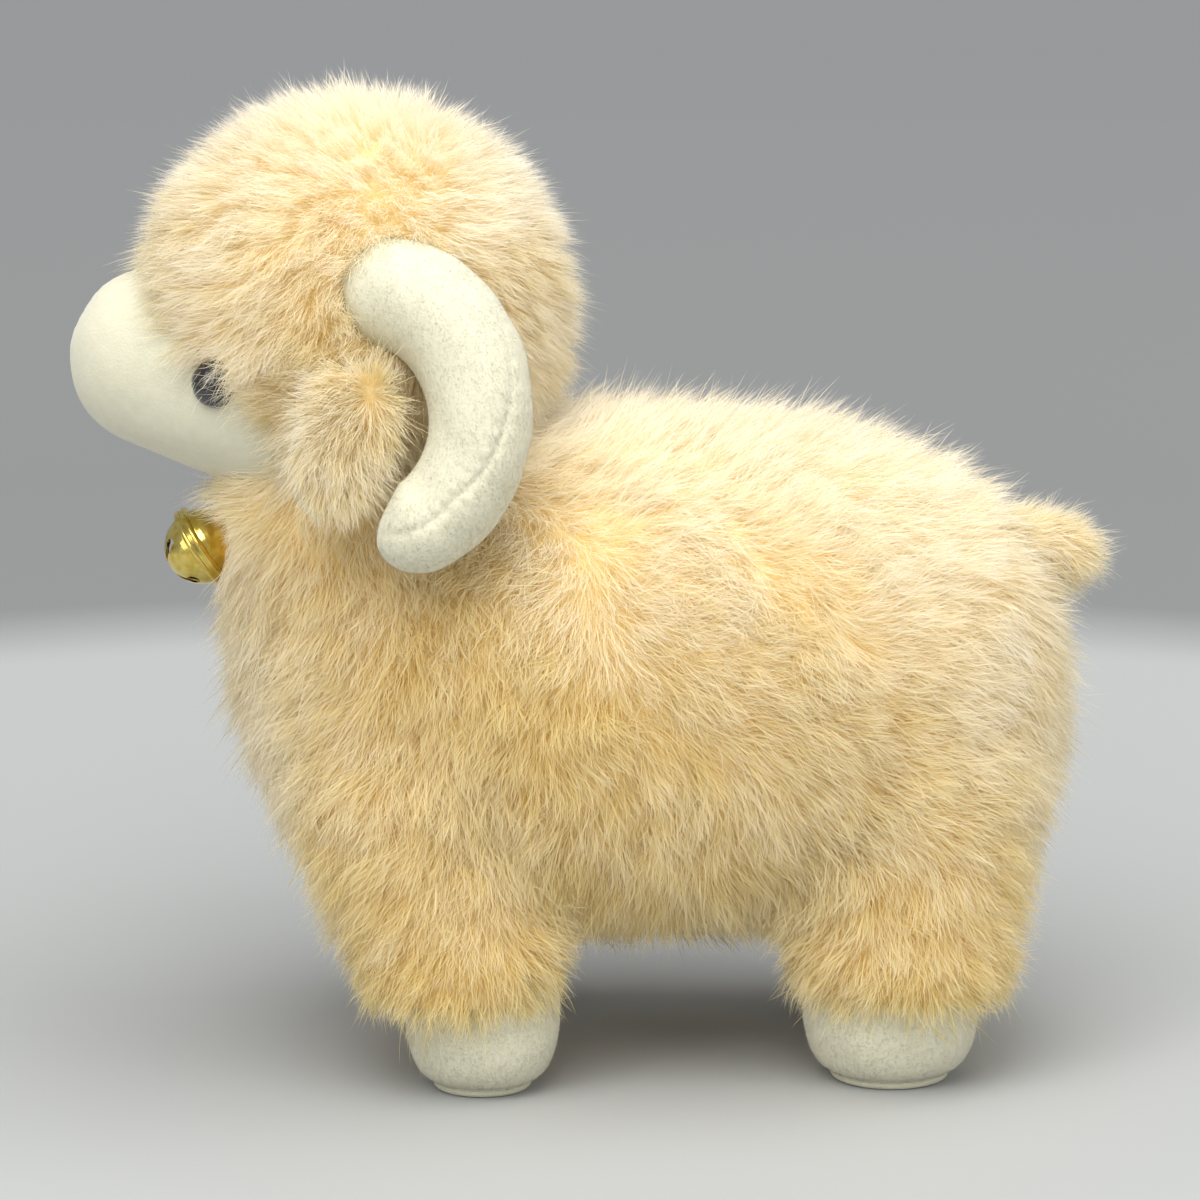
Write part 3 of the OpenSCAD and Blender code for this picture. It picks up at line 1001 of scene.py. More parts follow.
# How much a tip stands up with the lift, and how far it sinks without
TIP_SLOPE = (0.9, 0.10)
# Share of the droop that a full lift takes away
LIFT_HOLDS = 0.6
# How late along a hair its tuft draws it in, and how far its sway turns
GATHER_POWER = 1.5
SWAY_TURN = 5.0


@dataclass(frozen=True)
class Unruly:
    """How hairs and tufts differ from each other. A large tuft is made of several small ones.

    Args:
        cluster: Size of a large tuft, in small ones.
        turns: How far a small and a large tuft turn, as shares of the tousle.
        heave: How much more or less a tuft stands up than the comb says.
        ruffle: How much more or less a single hair does.
        lifts: Least and greatest lift of a hair.
        tuft_length: Length of the shortest tuft, and how much longer the longest one is.
        hair_length: Shortest and longest hair of a tuft, as shares of the tuft's length.
        stray: Share of hairs that stand out of the coat.
        stray_length: Their length, as a share of the others'.
        stray_lift: How much more they stand up.
        waver: How far the directions of the tips differ.
        roll: How far the ways differ that the blades face.
        sway: How far hairs bend to the side, as a share of their length.
        mottle: How much the tone changes with the small tuft, the large tuft and the hair.
        thickness: Thinnest and thickest hair, as shares of the usual one.
    """

    cluster: float = 3.2
    turns: Pair = (0.8, 1.4)
    heave: float = 0.44
    ruffle: float = 0.14
    lifts: Pair = (0.04, 2.0)
    tuft_length: Pair = (0.84, 0.32)
    hair_length: Pair = (0.68, 1.08)
    stray: float = 0.07
    stray_length: float = 1.18
    stray_lift: float = 0.45
    waver: float = 0.26
    roll: float = 0.6
    sway: float = 0.06
    mottle: Triple = (0.27, 0.24, 0.10)
    thickness: Pair = (0.75, 1.2)


@dataclass(frozen=True)
class Pile:
    """How one kind of fur grows.

    Args:
        length: Length of a full hair.
        width: Width of a hair at its root.
        density: Hairs to the square millimetre.
        lock: Distance between tufts.
        clump: How far the tips of a tuft draw together, from 0 to 1.
        tousle: Degrees by which whole tufts turn.
        fray: Degrees by which single hairs turn.
        under: Share of short hairs that fill the coat.
        short: Length of those, as a share of a full hair's.
        droop: How far tips sink under their weight.
        soft: How much of the surface's own normal is in the shading.
        unruly: How its hairs and tufts differ from each other.
    """

    length: float
    width: float
    density: float
    lock: float = 6.5
    clump: float = 0.5
    tousle: float = 42.0
    fray: float = 20.0
    under: float = 0.5
    short: float = 0.62
    droop: float = 0.2
    soft: float = 0.45
    unruly: Unruly = Unruly()

    def grow(self, roots: Roots, comb: Comb, seed: int, tone: Array, reach: Array | float = 1.0) -> Coat:
        """Grows hairs that leave the surface steeply and bend over into the comb's direction.

        A hair's slope turns evenly from its first direction to its last, so the hair is a parabola.
        It sways a little to the side, and its tip is drawn towards the middle of its tuft.
        Each blade is turned to face outwards, so that it is lit like the coat that it belongs to.

        Args:
            roots: Where the hairs grow.
            comb: Which way they lie.
            seed: Picks the random numbers.
            tone: Mean tone at each root.
            reach: Share of the full length at each root.

        Returns:
            A layer of full hairs and a layer of short ones.
        """
        rng = np.random.default_rng(seed)
        odd = self.unruly
        count = len(roots.points)
        middle, shared = Locks(seed, self.lock).gather(roots.points)
        large = Locks(seed + 1, self.lock * odd.cluster).gather(roots.points)[1]
        flow, lift = comb.laid(roots)
        turn = odd.turns[0] * shared[:, 0] + odd.turns[1] * large[:, 0] - sum(odd.turns) / 2
        turn = np.radians(self.tousle) * turn + np.radians(self.fray) * rng.normal(size=count)
        flow = swung(flow, roots.normals, turn)
        lift = lift + odd.heave * (shared[:, 1] - 0.5) + odd.heave * (large[:, 2] - 0.5)
        lift = np.clip(lift + odd.ruffle * rng.normal(size=count), *odd.lifts)
        tuft = odd.tuft_length[0] + odd.tuft_length[1] * shared[:, 2]
        length = self.length * reach * tuft * rng.uniform(*odd.hair_length, count)
        stray = rng.random(count) < odd.stray
        length = np.where(stray, odd.stray_length * length, length)
        lift = np.where(stray, lift + odd.stray_lift, lift)
        steep, ahead = ROOT_SLOPE
        first = unit(roots.normals * (steep + lift)[:, None] + ahead * flow)
        sink = self.droop * (1 - LIFT_HOLDS * np.clip(lift, 0, 1))
        rise, settle = TIP_SLOPE
        last = roots.normals * (rise * lift - settle)[:, None] + flow + DOWN * sink[:, None]
        last = unit(last + odd.waver * rng.normal(size=(count, 3)))
        gathered = flattened(middle - roots.points, roots.normals) * self.clump
        heading = unit(first + last)
        facing = unit(roots.normals + odd.roll * rng.normal(size=(count, 3)))
        sides = unit(np.cross(heading, facing))
        own = np.cross(sides, heading)
        sides = np.where(dot(own, roots.normals) < 0, -sides, sides)
        own = unit(np.cross(sides, heading))
        normals = unit(own * (1 - self.soft) + roots.normals * self.soft)
        tones = tone + odd.mottle[0] * (shared[:, 3] - 0.5) + odd.mottle[1] * (large[:, 1] - 0.5)
        tones = np.clip(tones + odd.mottle[2] * rng.normal(size=count), *TONES)
        sway = np.cross(roots.normals, flow) * (odd.sway * length * rng.normal(size=count))[:, None]
        phase = rng.uniform(0, 2 * np.pi, count)[:, None, None]
        under = rng.random(count) < self.under
        length = np.where(under, self.short * length, length)
        thick = self.width / 2 * rng.uniform(*odd.thickness, count)[:, None]
        layers = []
        for mask, (stations, taper) in ((~under, FULL_HAIR), (under, SHORT_HAIR)):
            share = np.array(stations)[None, :, None]
            bent = first[mask, None] * (share - share**2 / 2) + last[mask, None] * share**2 / 2
            lines = roots.points[mask, None] + length[mask, None, None] * bent
            lines = lines + gathered[mask, None] * share**GATHER_POWER
            lines = lines + sway[mask, None] * np.sin(phase[mask] + SWAY_TURN * share) * share
            widths = thick[mask] * np.array(taper)
            layers.append(Strands(lines, sides[mask], widths, normals[mask], tones[mask]))
        return Coat(tuple(layers))


@dataclass(frozen=True)
class Spot:
    """A paler or warmer patch of a coat's tone, on the left side and mirrored to the right; some spots paint
    light and shade.

    Args:
        at: Its middle.
        reach: How far it spreads.
        change: Change of tone in the middle, below 0 for warmer.
    """

    at: Triple
    reach: float
    change: float


def toned(points: Array, spots: tuple[Spot, ...], base: float) -> Array:
    """Mean tone of the hairs: a base, a slow random drift, and the spots, each a bell curve."""
    folded = on_left(points)
    tone = base + TONE_CHANGE * TONE_DRIFT.at(points)
    for spot in spots:
        away = ((folded - np.array(spot.at)) ** 2).sum(1)
        tone = tone + spot.change * np.exp(-away / (2 * spot.reach**2))
    return tone


@dataclass(frozen=True)
class Nap:
    """The nap of short plush: hairs of about a millimetre that lean one way.

    Args:
        towards: Which way it leans.
        density: Hairs to the square millimetre.
        seed: Picks the random numbers.
        lengths: Shortest and longest hair.
        half_width: Half of a hair's width at its root.
        sunk: Depth of the roots under the plush.
        upright: How far hairs stand up, against how far they lean.
        waver: How far the hairs' directions differ.
        roll: How far the ways differ that they face.
        mottle: How much the tone changes in patches, and from hair to hair.
        patch: Size of those patches.
    """

    towards: Triple
    density: float
    seed: int
    lengths: Pair = (0.5, 1.2)
    half_width: float = 0.085
    sunk: float = 0.1
    upright: Pair = (0.45, 0.9)
    waver: float = 0.22
    roll: float = 0.3
    mottle: float = 0.08
    patch: float = 8.0

    def cover(self, skin: Skin, name: str, body: str, fill: float, cloth: float = 0.0) -> None:
        """Adds a node's plush, and the nap on it.

        Args:
            skin: Surface of the plush.
            name: The node that it stands for.
            body: Body that both ride on.
            fill: How tightly it is stuffed.
            cloth: Thickness of the plush, or 0 for a closed surface.
        """
        Piece(f"{name}_plush", body, PLUSH, Slot.PLUSH, (name,), fill, cloth).add(skin)
        rng = np.random.default_rng(self.seed)
        roots = skin.scatter(self.density, rng)
        count = len(roots.points)
        lean = unit(flattened(np.broadcast_to(np.array(self.towards), roots.points.shape), roots.normals))
        stand, slant = self.upright
        heading = stand * roots.normals + slant * lean
        heading = unit(heading + self.waver * rng.normal(size=(count, 3)))
        length = rng.uniform(*self.lengths, count)[:, None]
        lines = np.stack([roots.points - self.sunk * roots.normals, roots.points + heading * length], 1)
        sides = unit(np.cross(heading, roots.normals + self.roll * rng.normal(size=(count, 3))))
        sides = np.where(dot(np.cross(sides, heading), roots.normals) < 0, -sides, sides)
        widths = np.tile([self.half_width, 0.0], (count, 1))
        patches = Ripple(self.seed, self.patch).at(roots.points)
        tones = 0.5 + self.mottle * patches + self.mottle * rng.normal(size=count)
        hairs = Strands(lines, sides, widths, roots.normals, np.clip(tones, *TONES), pointed=False)
        Coat((hairs,)).add(Piece(f"{name}_nap", body, NAP, Slot.PLUSH))


# The torso and its legs


FLANK_Y = -60.0


def flank(x: float, z: float, back: float, up: float, reach: float, lift: float = 0.40) -> Stroke:
    """A stroke over the flank, given in the flank's own plane."""
    return Stroke((x, FLANK_Y, z), (back, 0.0, up), reach, lift)


TORSO_COMB = Comb((
    flank(-37, 146, -0.10, -1.00, 20),
    flank(-45, 121, -0.25, -1.00, 20),
    flank(-20, 135, -0.75, -0.65, 13),
    flank(-5, 121, 0.00, -1.00, 10, 0.62),
    flank(17, 120, 0.75, 0.62, 11),
    flank(27, 131, 0.95, 0.25, 12, 0.45),
    flank(20, 108, 1.00, 0.05, 12, 0.32),
    flank(16, 94, 0.55, -0.85, 13, 0.34),
    flank(40, 131, 1.00, -0.15, 14, 0.45),
    flank(40, 112, 1.00, -0.12, 16, 0.30),
    flank(46, 146, 0.90, -0.35, 16),
    flank(30, 158, 1.00, -0.08, 18),
    flank(58, 124, 0.80, -0.60, 15),
    flank(85, 140, 1.00, -0.15, 24),
    flank(113, 132, 1.00, -0.20, 20),
    flank(80, 101, 0.85, -0.50, 20),
    flank(103, 90, 0.90, -0.35, 20),
    flank(46, 90, 0.75, -0.60, 18, 0.32),
    flank(30, 68, 0.30, -1.00, 20, 0.36),
    flank(-9, 76, 0.05, -1.00, 24, 0.36),
    flank(-9, 100, 0.00, -1.00, 14, 0.36),
    flank(-32, 100, -0.10, -1.00, 16, 0.40),
    flank(-48, 76, -0.10, -1.00, 24),
    flank(-73, 90, -0.05, -1.00, 22, 0.26),
    flank(85, 60, 0.25, -1.00, 22),
    Stroke((-98, -22, 168), (-1.0, -0.1, 0.35), 9, 0.75),
    Stroke((-95, -25, 140), (-0.15, 0.0, -1.0), 26, 0.28),
    Stroke((-92, -20, 100), (0.10, 0.0, -1.0), 28, 0.16),
    Stroke((-60, -48, 172), (0.10, 0.0, -1.0), 20, 0.45),
    Stroke((-15, -30, 185), (0.80, 0.0, -0.5), 22, 0.60),
    Stroke((25, -25, 182), (1.0, 0.0, 0.0), 26, 0.55),
    Stroke((80, -25, 180), (1.0, 0.0, 0.0), 28, 0.55),
    Stroke((118, -25, 160), (0.9, 0.0, -0.4), 24, 0.60),
    Stroke((128, -25, 110), (0.3, 0.0, -1.0), 26, 0.62),
    Stroke((122, -25, 65), (0.3, 0.0, -1.0), 24, 0.60),
), loft=0.15)
# Partly painted light and shade: the pale spots on top of the back and on the rump paint the light that
# falls there, and the warm spots on the neck and the flank paint the shade there and in the coat's partings.
TORSO_TONE_AND_PAINTED_LIGHT = (
    Spot((-35, -60, 142), 22, -0.30),
    Spot((-45, -60, 114), 18, -0.26),
    Spot((-12, -60, 116), 10, -0.40),
    Spot((6, -60, 118), 9, -0.42),
    Spot((10, -60, 85), 26, -0.14),
    Spot((60, -62, 112), 20, -0.16),
    Spot((46, -60, 141), 14, -0.34),
    Spot((-76, -45, 152), 22, -0.40),
    Spot((-60, -50, 84), 22, -0.10),
    Spot((40, -40, 174), 40, 0.30),
    Spot((112, -34, 140), 38, 0.20),
    Spot((-90, -30, 100), 34, 0.20),
)


@dataclass
class Torso:
    """Body and neck: a fur skin in three panels, with the coat that grows on it.

    Args:
        sink: Depth of the cloth below the tips of the fur.
        fade: Painted light from above: how much paler the fur is made for each millimetre of height.
        pile: How its fur grows.
        belly_share: Share of the hairs that the belly has.
        half_length: Half of the trunk's length over the fur.
        half_height: Half of its height.
        neck_top: Middle of the neck's upper ball, from the head's joint.
        neck_r: Its radius over the fur.
        neck_low: Middle of the neck's lower ball, from the head's joint.
        neck_low_r: Its radius over the fur.
        heart: A point well inside, from the head's joint.
        belly_half: Half of the belly panel's width.
        belly_z: Height up to which the belly panel reaches.
        head_r: Distance from the head's middle within which no fur grows on the neck.
        squareness: Exponents of the trunk along its length and round its section.
        chest: Share of the trunk's length that its front half has.
        tone: Mean tone of the fur.
        low: Height below which the fur gets shorter, over which height, and by which share.
        face_gap: Clear space between the neck's roots and the face.
        overlap: How deep inside each other trunk and legs still carry roots.
        soft: Width of the soft joints of the cloth, and of the coat over it.
    """

    sink: float = 8.0
    fade: float = 0.0042
    pile: Pile = Pile(length=17.5, width=0.215, density=3.2)
    belly_share: float = 0.3
    half_length: float = 121.0
    half_height: float = 77.5
    neck_top: Triple = (11.0, 0.0, -59.0)
    neck_r: float = 54.0
    neck_low: Triple = (17.0, 0.0, -97.0)
    neck_low_r: float = 52.0
    heart: Triple = (51.0, 0.0, -99.0)
    belly_half: float = 38.0
    belly_z: float = 58.0
    head_r: float = 44.0
    squareness: Pair = (2.45, 2.3)
    chest: float = 0.955
    tone: float = 0.54
    low: Triple = (75.0, 50.0, 0.34)
    face_gap: float = 0.5
    overlap: float = 1.5
    soft: Pair = (4.0, 6.0)
    form: Joined = field(init=False)
    coat: Joined = field(init=False)
    legs: list["Leg"] = field(init=False)

    def __post_init__(self) -> None:
        """Works the forms out from the frame's boxes."""
        panel_low, panel_high = node_box("side_panel_left")
        gusset_low, _ = node_box("belly_gusset")
        head = joint_at("head_nod")
        half = np.array([self.half_length, -panel_low[1], self.half_height])
        middle = np.array([panel_high[0] - half[0], 0.0, gusset_low[2] + half[2]])
        trunk = Blob(middle, half - self.sink, *self.squareness, self.chest)
        neck = Cone(head + self.neck_top, self.neck_r - self.sink,
                    head + self.neck_low, self.neck_low_r - self.sink)
        self.legs = [Leg(end, side) for end in End for side in Side]
        self.form = Joined((trunk, neck), self.soft[0])
        self.coat = Joined((trunk, neck, *(leg.form for leg in self.legs)), self.soft[1])

    def skin(self) -> Skin:
        """The cloth of body and neck: rays from a point inside, each followed to where the form ends.

        The end of a ray is found by halving the stretch that holds it.

        Returns:
            A closed surface.
        """
        rows, columns, far, halvings = 90, 128, 260.0, 26
        heart = joint_at("head_nod") + self.heart
        rays = rays_at(np.linspace(0, np.pi, rows + 2)[1:-1], round_angles(columns)) * MIRROR
        near = np.zeros(len(rays))
        beyond = np.full(len(rays), far)
        for _ in range(halvings):
            half = (near + beyond) / 2
            inside = self.form.depth(heart + rays * half[:, None]) < 0
            near = np.where(inside, half, near)
            beyond = np.where(inside, beyond, half)
        return tube((heart + rays * near[:, None]).reshape(rows, columns, 3))

    def panel_of(self, points: Array) -> Array:
        """Which panel each point belongs to: -1 left flank, 1 right flank, 0 belly."""
        belly = (np.abs(points[:, 1]) < self.belly_half) & (points[:, 2] < self.belly_z)
        return np.where(belly, 0, np.where(points[:, 1] < 0, -1, 1))

    def roots(self, skin: Skin, face: "Face", rng: Random) -> Roots:
        """Roots over body, neck and legs in one coat, with none inside the head, the face or a leg."""
        found = skin.scatter(self.pile.density, rng).points
        for leg in self.legs:
            found = found[leg.form.depth(found) > -self.overlap]
        for leg in self.legs:
            sleeve = leg.skin()
            spots = sleeve.scatter(self.pile.density, rng).points
            outside = (self.form.depth(spots) > -self.overlap) & (spots[:, 2] > leg.hem)
            found = np.vstack([found, spots[outside]])
        found = found[np.linalg.norm(found - joint_at("head_nod"), axis=1) > self.head_r]
        found = found[face.hull.clear(found, self.face_gap)]
        thinned = (self.panel_of(found) == 0) & (rng.random(len(found)) > self.belly_share)
        points, normals = self.coat.settled(found[~thinned])
        return Roots(points, normals)

    def build(self, face: "Face") -> None:
        """Adds the three panels, the legs' sleeves and the coat over all of them.

        Args:
            face: The face, which the neck's fur stays out of.
        """
        rng = np.random.default_rng(21)
        skin = self.skin()
        owners = self.panel_of(skin.middles())
        names = {-1: "side_panel_left", 1: "side_panel_right", 0: "belly_gusset"}
        for owner, name in names.items():
            backing(skin.part(owners == owner), name, TORSO, FIRM, CLOTH_T)
        for leg in self.legs:
            leg.build()
        roots = self.roots(skin, face, rng)
        height = roots.points[:, 2] - skin.points[:, 2].mean()
        # Painted light: the tone rises with height, so the coat is paler on top where the light falls and
        # warmer below.
        tone = toned(roots.points, TORSO_TONE_AND_PAINTED_LIGHT, self.tone) + self.fade * height
        start, over, loss = self.low
        reach = 1.0 - loss * np.clip((start - roots.points[:, 2]) / over, 0, 1)
        coat = self.pile.grow(roots, TORSO_COMB, 33, tone, reach)
        coat = coat.pushed(lambda ends: face.hull.pushed_out(ends, HAIR_GAP))
        coat = coat.thinned(Bell().around, 0.0, rng)
        zones = {"fore": (-np.inf, -25.0), "mid": (-25.0, 62.0), "hind": (62.0, np.inf)}
        for owner, name in names.items():
            panel = coat.kept(lambda spots: self.panel_of(spots) == owner)
            for zone, (start, end) in zones.items():
                cut = panel.kept(lambda spots: (spots[:, 0] >= start) & (spots[:, 0] < end))
                cut.add(Piece(f"{name}_fur_{zone}", TORSO, FUR, Slot.FUR))


@dataclass(frozen=True)
class Stance:
    """How one pair of legs leans.

    Args:
        ankle: How far behind the foot's middle the ankle is.
        hip: How far behind the foot's middle the hip is, and how far inwards.
        swell: How much wider than the foot the hip is.
    """

    ankle: float
    hip: Pair
    swell: float


STANCES = {
    End.FRONT: Stance(ankle=-6.0, hip=(-17.0, 13.0), swell=9.0),
    End.REAR: Stance(ankle=3.0, hip=(4.0, 8.0), swell=6.0),
}


@dataclass
class Leg:
    """A fur sleeve, and the plush foot below it.

    Args:
        end: Which pair it belongs to.
        side: Which side it is on.
        foot_top: Height of the ankle.
        hip_z: Height of the hip.
        hem: Height of the sleeve's lower edge.
        loose: How much wider than the foot the sleeve is at the ankle.
        sole_t: Height of the seam between foot and sole.
        inset: How far that seam pulls the foot in.
        tucked: How far the foot's edge is turned under.
        bulge: Height at which the foot is widest.
        full: How far it stands out there.
        slim: How much narrower it is at its top.
        gathers: How many gathers run round the seam.
        gather_h: Their height.
        gather_reach: How far up they reach.
        dent: Depth and size of the soft dents.
        sole_inset: How much smaller than the foot the sole is.
        roll: Half of the width and of the height of the sole's rolled edge.
        nap: Which way the nap leans.
    """

    end: End
    side: Side
    foot_top: float = 39.0
    hip_z: float = 80.0
    hem: float = 29.0
    loose: float = 4.0
    sole_t: float = 3.0
    inset: float = 8.7
    tucked: float = 1.2
    bulge: float = 19.0
    full: float = 1.2
    slim: float = 1.5
    gathers: int = 26
    gather_h: float = 0.22
    gather_reach: float = 3.5
    dent: Pair = (0.35, 26.0)
    sole_inset: float = 7.0
    roll: Pair = (2.0, 1.5)
    nap: Triple = (-0.3, 0.0, -1.0)
    place: Array = field(init=False)
    radius: float = field(init=False)
    form: Cone = field(init=False)

    def __post_init__(self) -> None:
        """Takes the foot's place and size from the frame, and leans the leg towards its hip."""
        low, high = node_box(f"foot_{self.tag}")
        self.place = (low + high) / 2
        self.radius = (high[0] - low[0]) / 2
        stance = STANCES[self.end]
        back, inwards = stance.hip
        x, y = self.place[:2]
        ankle = np.array([x + stance.ankle, y, self.foot_top])
        hip = np.array([x + back, y - self.side.value * inwards, self.hip_z])
        self.form = Cone(ankle, self.radius + self.loose, hip, self.radius + stance.swell)

    @property
    def tag(self) -> str:
        """The leg's part of its nodes' names."""
        return f"{self.end.value}_{self.side.word}"

    def skin(self) -> Skin:
        """The sleeve: circles that slide from the foot to the hip, and a dome over the hip."""
        rise = np.linspace(self.hem, self.hip_z, 18)
        dome = np.linspace(0, np.pi / 2, 12)[1:-1]
        share = np.clip((rise - self.foot_top) / (self.hip_z - self.foot_top), 0, 1)
        share = np.concatenate([share, np.ones(len(dome))])
        radii = self.form.start_r + (self.form.end_r - self.form.start_r) * share
        radii[len(rise):] *= np.cos(dome)
        heights = np.concatenate([rise, self.hip_z + self.form.end_r * np.sin(dome)])
        shift = (self.form.end - self.form.start)[:2]
        grid = turned(radii, heights, 40)
        grid[:, :, :2] += (self.form.start[:2] + share[:, None] * shift)[:, None]
        return tube(grid)

    def build(self) -> None:
        """Adds the sleeve, the foot, its sole and their nap."""
        backing(self.skin(), f"leg_{self.tag}", TORSO, SOFT)
        for part, skin in (("foot", self.foot()), ("sole", self.sole())):
            name = f"{part}_{self.tag}"
            Nap(self.nap, density=2.2, seed=60 + len(name)).cover(skin, name, TORSO, SOFT)

    def foot(self) -> Skin:
        """The foot: a rounded cup turned about its middle, pulled in by the sole's seam.

        The profile is a quarter of an ellipse from the sole's edge to the bulge, and narrows again above it.
        Small waves round the lower edge are the gathers of the seam.

        Returns:
            A closed surface.
        """
        columns, above = 120, 8
        wide = self.radius + self.full
        swell = np.linspace(0, np.pi / 2, 26)
        narrow = wide - self.slim * np.linspace(0, 1, above) ** 2
        radii = np.concatenate([wide - self.inset * (1 - np.sin(swell)), narrow])
        cup = self.bulge - (self.bulge - self.sole_t) * np.cos(swell)
        heights = np.concatenate([cup, np.linspace(self.bulge + 2.5, self.foot_top - 1.0, above)])
        heights[0] -= self.tucked
        grid = turned(radii, heights, columns)
        turn = round_angles(columns)
        near_seam = np.exp(-(((heights - self.sole_t) / self.gather_reach) ** 2))[:, None]
        gathers = self.gather_h * near_seam * np.cos(self.gathers * turn + 0.6 * np.sin(3 * turn))[None]
        depth, size = self.dent
        dents = Ripple(70 + int(self.radius) + self.side.value, size).at(grid.reshape(-1, 3))
        sag = depth * dents.reshape(len(radii), columns)
        grid[:, :, :2] *= (1 + (gathers + sag) / self.radius)[:, :, None]
        grid[:, :, :2] += self.place[:2]
        return tube(grid)

    def sole(self) -> Skin:
        """The sole: a flat disc with a rolled edge where the seam turns it up."""
        edge = self.radius - self.sole_inset
        wide, high = self.roll
        flat = np.linspace(edge * 0.15, edge - wide, 8)
        roll = np.linspace(0, np.pi * 0.75, 9)[1:]
        radii = np.concatenate([flat, edge - wide + wide * np.sin(roll)])
        heights = np.concatenate([np.zeros(len(flat)), high * (1 - np.cos(roll))])
        grid = turned(radii, heights, 96)[:, ::-1]
        grid[:, :, :2] += self.place[:2]
        return tube(grid)


# The head


EYE_LOOKS = (-16.5, 34.5)
HEAD_COMB = Comb((
    Stroke((-69, 0, 270), (-0.6, -0.2, 0.0), 22, 1.60),
    Stroke((-36, 0, 258), (0.7, -0.2, 0.1), 20, 1.60),
    Stroke((-100, -12, 254), (-0.8, -0.2, 0.1), 18, 1.40),
    Stroke((-69, -28, 258), (-0.7, -0.4, -0.4), 16, 0.75),
    Stroke((-108, -30, 232), (-0.85, 0.0, -0.45), 16, 0.62),
    Stroke((-88, -42, 236), (-0.80, 0.0, -0.50), 16, 0.62),
    Stroke((-92, -44, 212), (-0.90, 0.0, -0.40), 14, 0.50),
    Stroke((-78, -50, 200), (-0.95, 0.0, -0.30), 14, 0.55),
    Stroke((-62, -44, 246), (-0.40, -0.3, -0.70), 14, 0.95),
    Stroke((-75, -50, 224), (0.70, -0.5, 0.10), 5, 0.90),
    Stroke((-90, -44, 222), (-0.90, 0.0, -0.40), 8, 0.70),
    Stroke((-64, -52, 216), (-0.30, -0.8, -0.50), 8, 1.10),
    Stroke((-36, -34, 246), (0.50, -0.3, -0.50), 18, 1.00),
    Stroke((-26, -26, 224), (0.70, -0.2, -0.65), 18, 1.15),
    Stroke((-16, -6, 236), (0.70, -0.1, 0.0), 18, 1.50),
    Stroke((-22, -14, 200), (0.50, 0.0, -0.80), 18, 1.15),
    Stroke((-60, -46, 186), (-0.40, 0.0, -0.90), 16, 0.55),
    Stroke((-92, -36, 182), (-0.60, 0.0, -0.70), 14, 0.45),
), base=(0.2, 0.0, -0.6), base_lift=0.6, wander=14.0)
# The large pale spot on the crown is painted light from above, which makes the top of the head paler; the
# other spots make patches paler or warmer.
HEAD_TONE_AND_PAINTED_LIGHT = (
    Spot((-69, 0, 270), 36, 0.55),
    Spot((-50, -34, 252), 15, 0.25),
    Spot((-72, -48, 226), 13, -0.34),
    Spot((-66, -48, 200), 12, -0.22),
    Spot((-92, -40, 232), 14, 0.05),
    Spot((-30, -30, 232), 16, -0.12),
    Spot((-20, -10, 240), 26, 0.16),
)


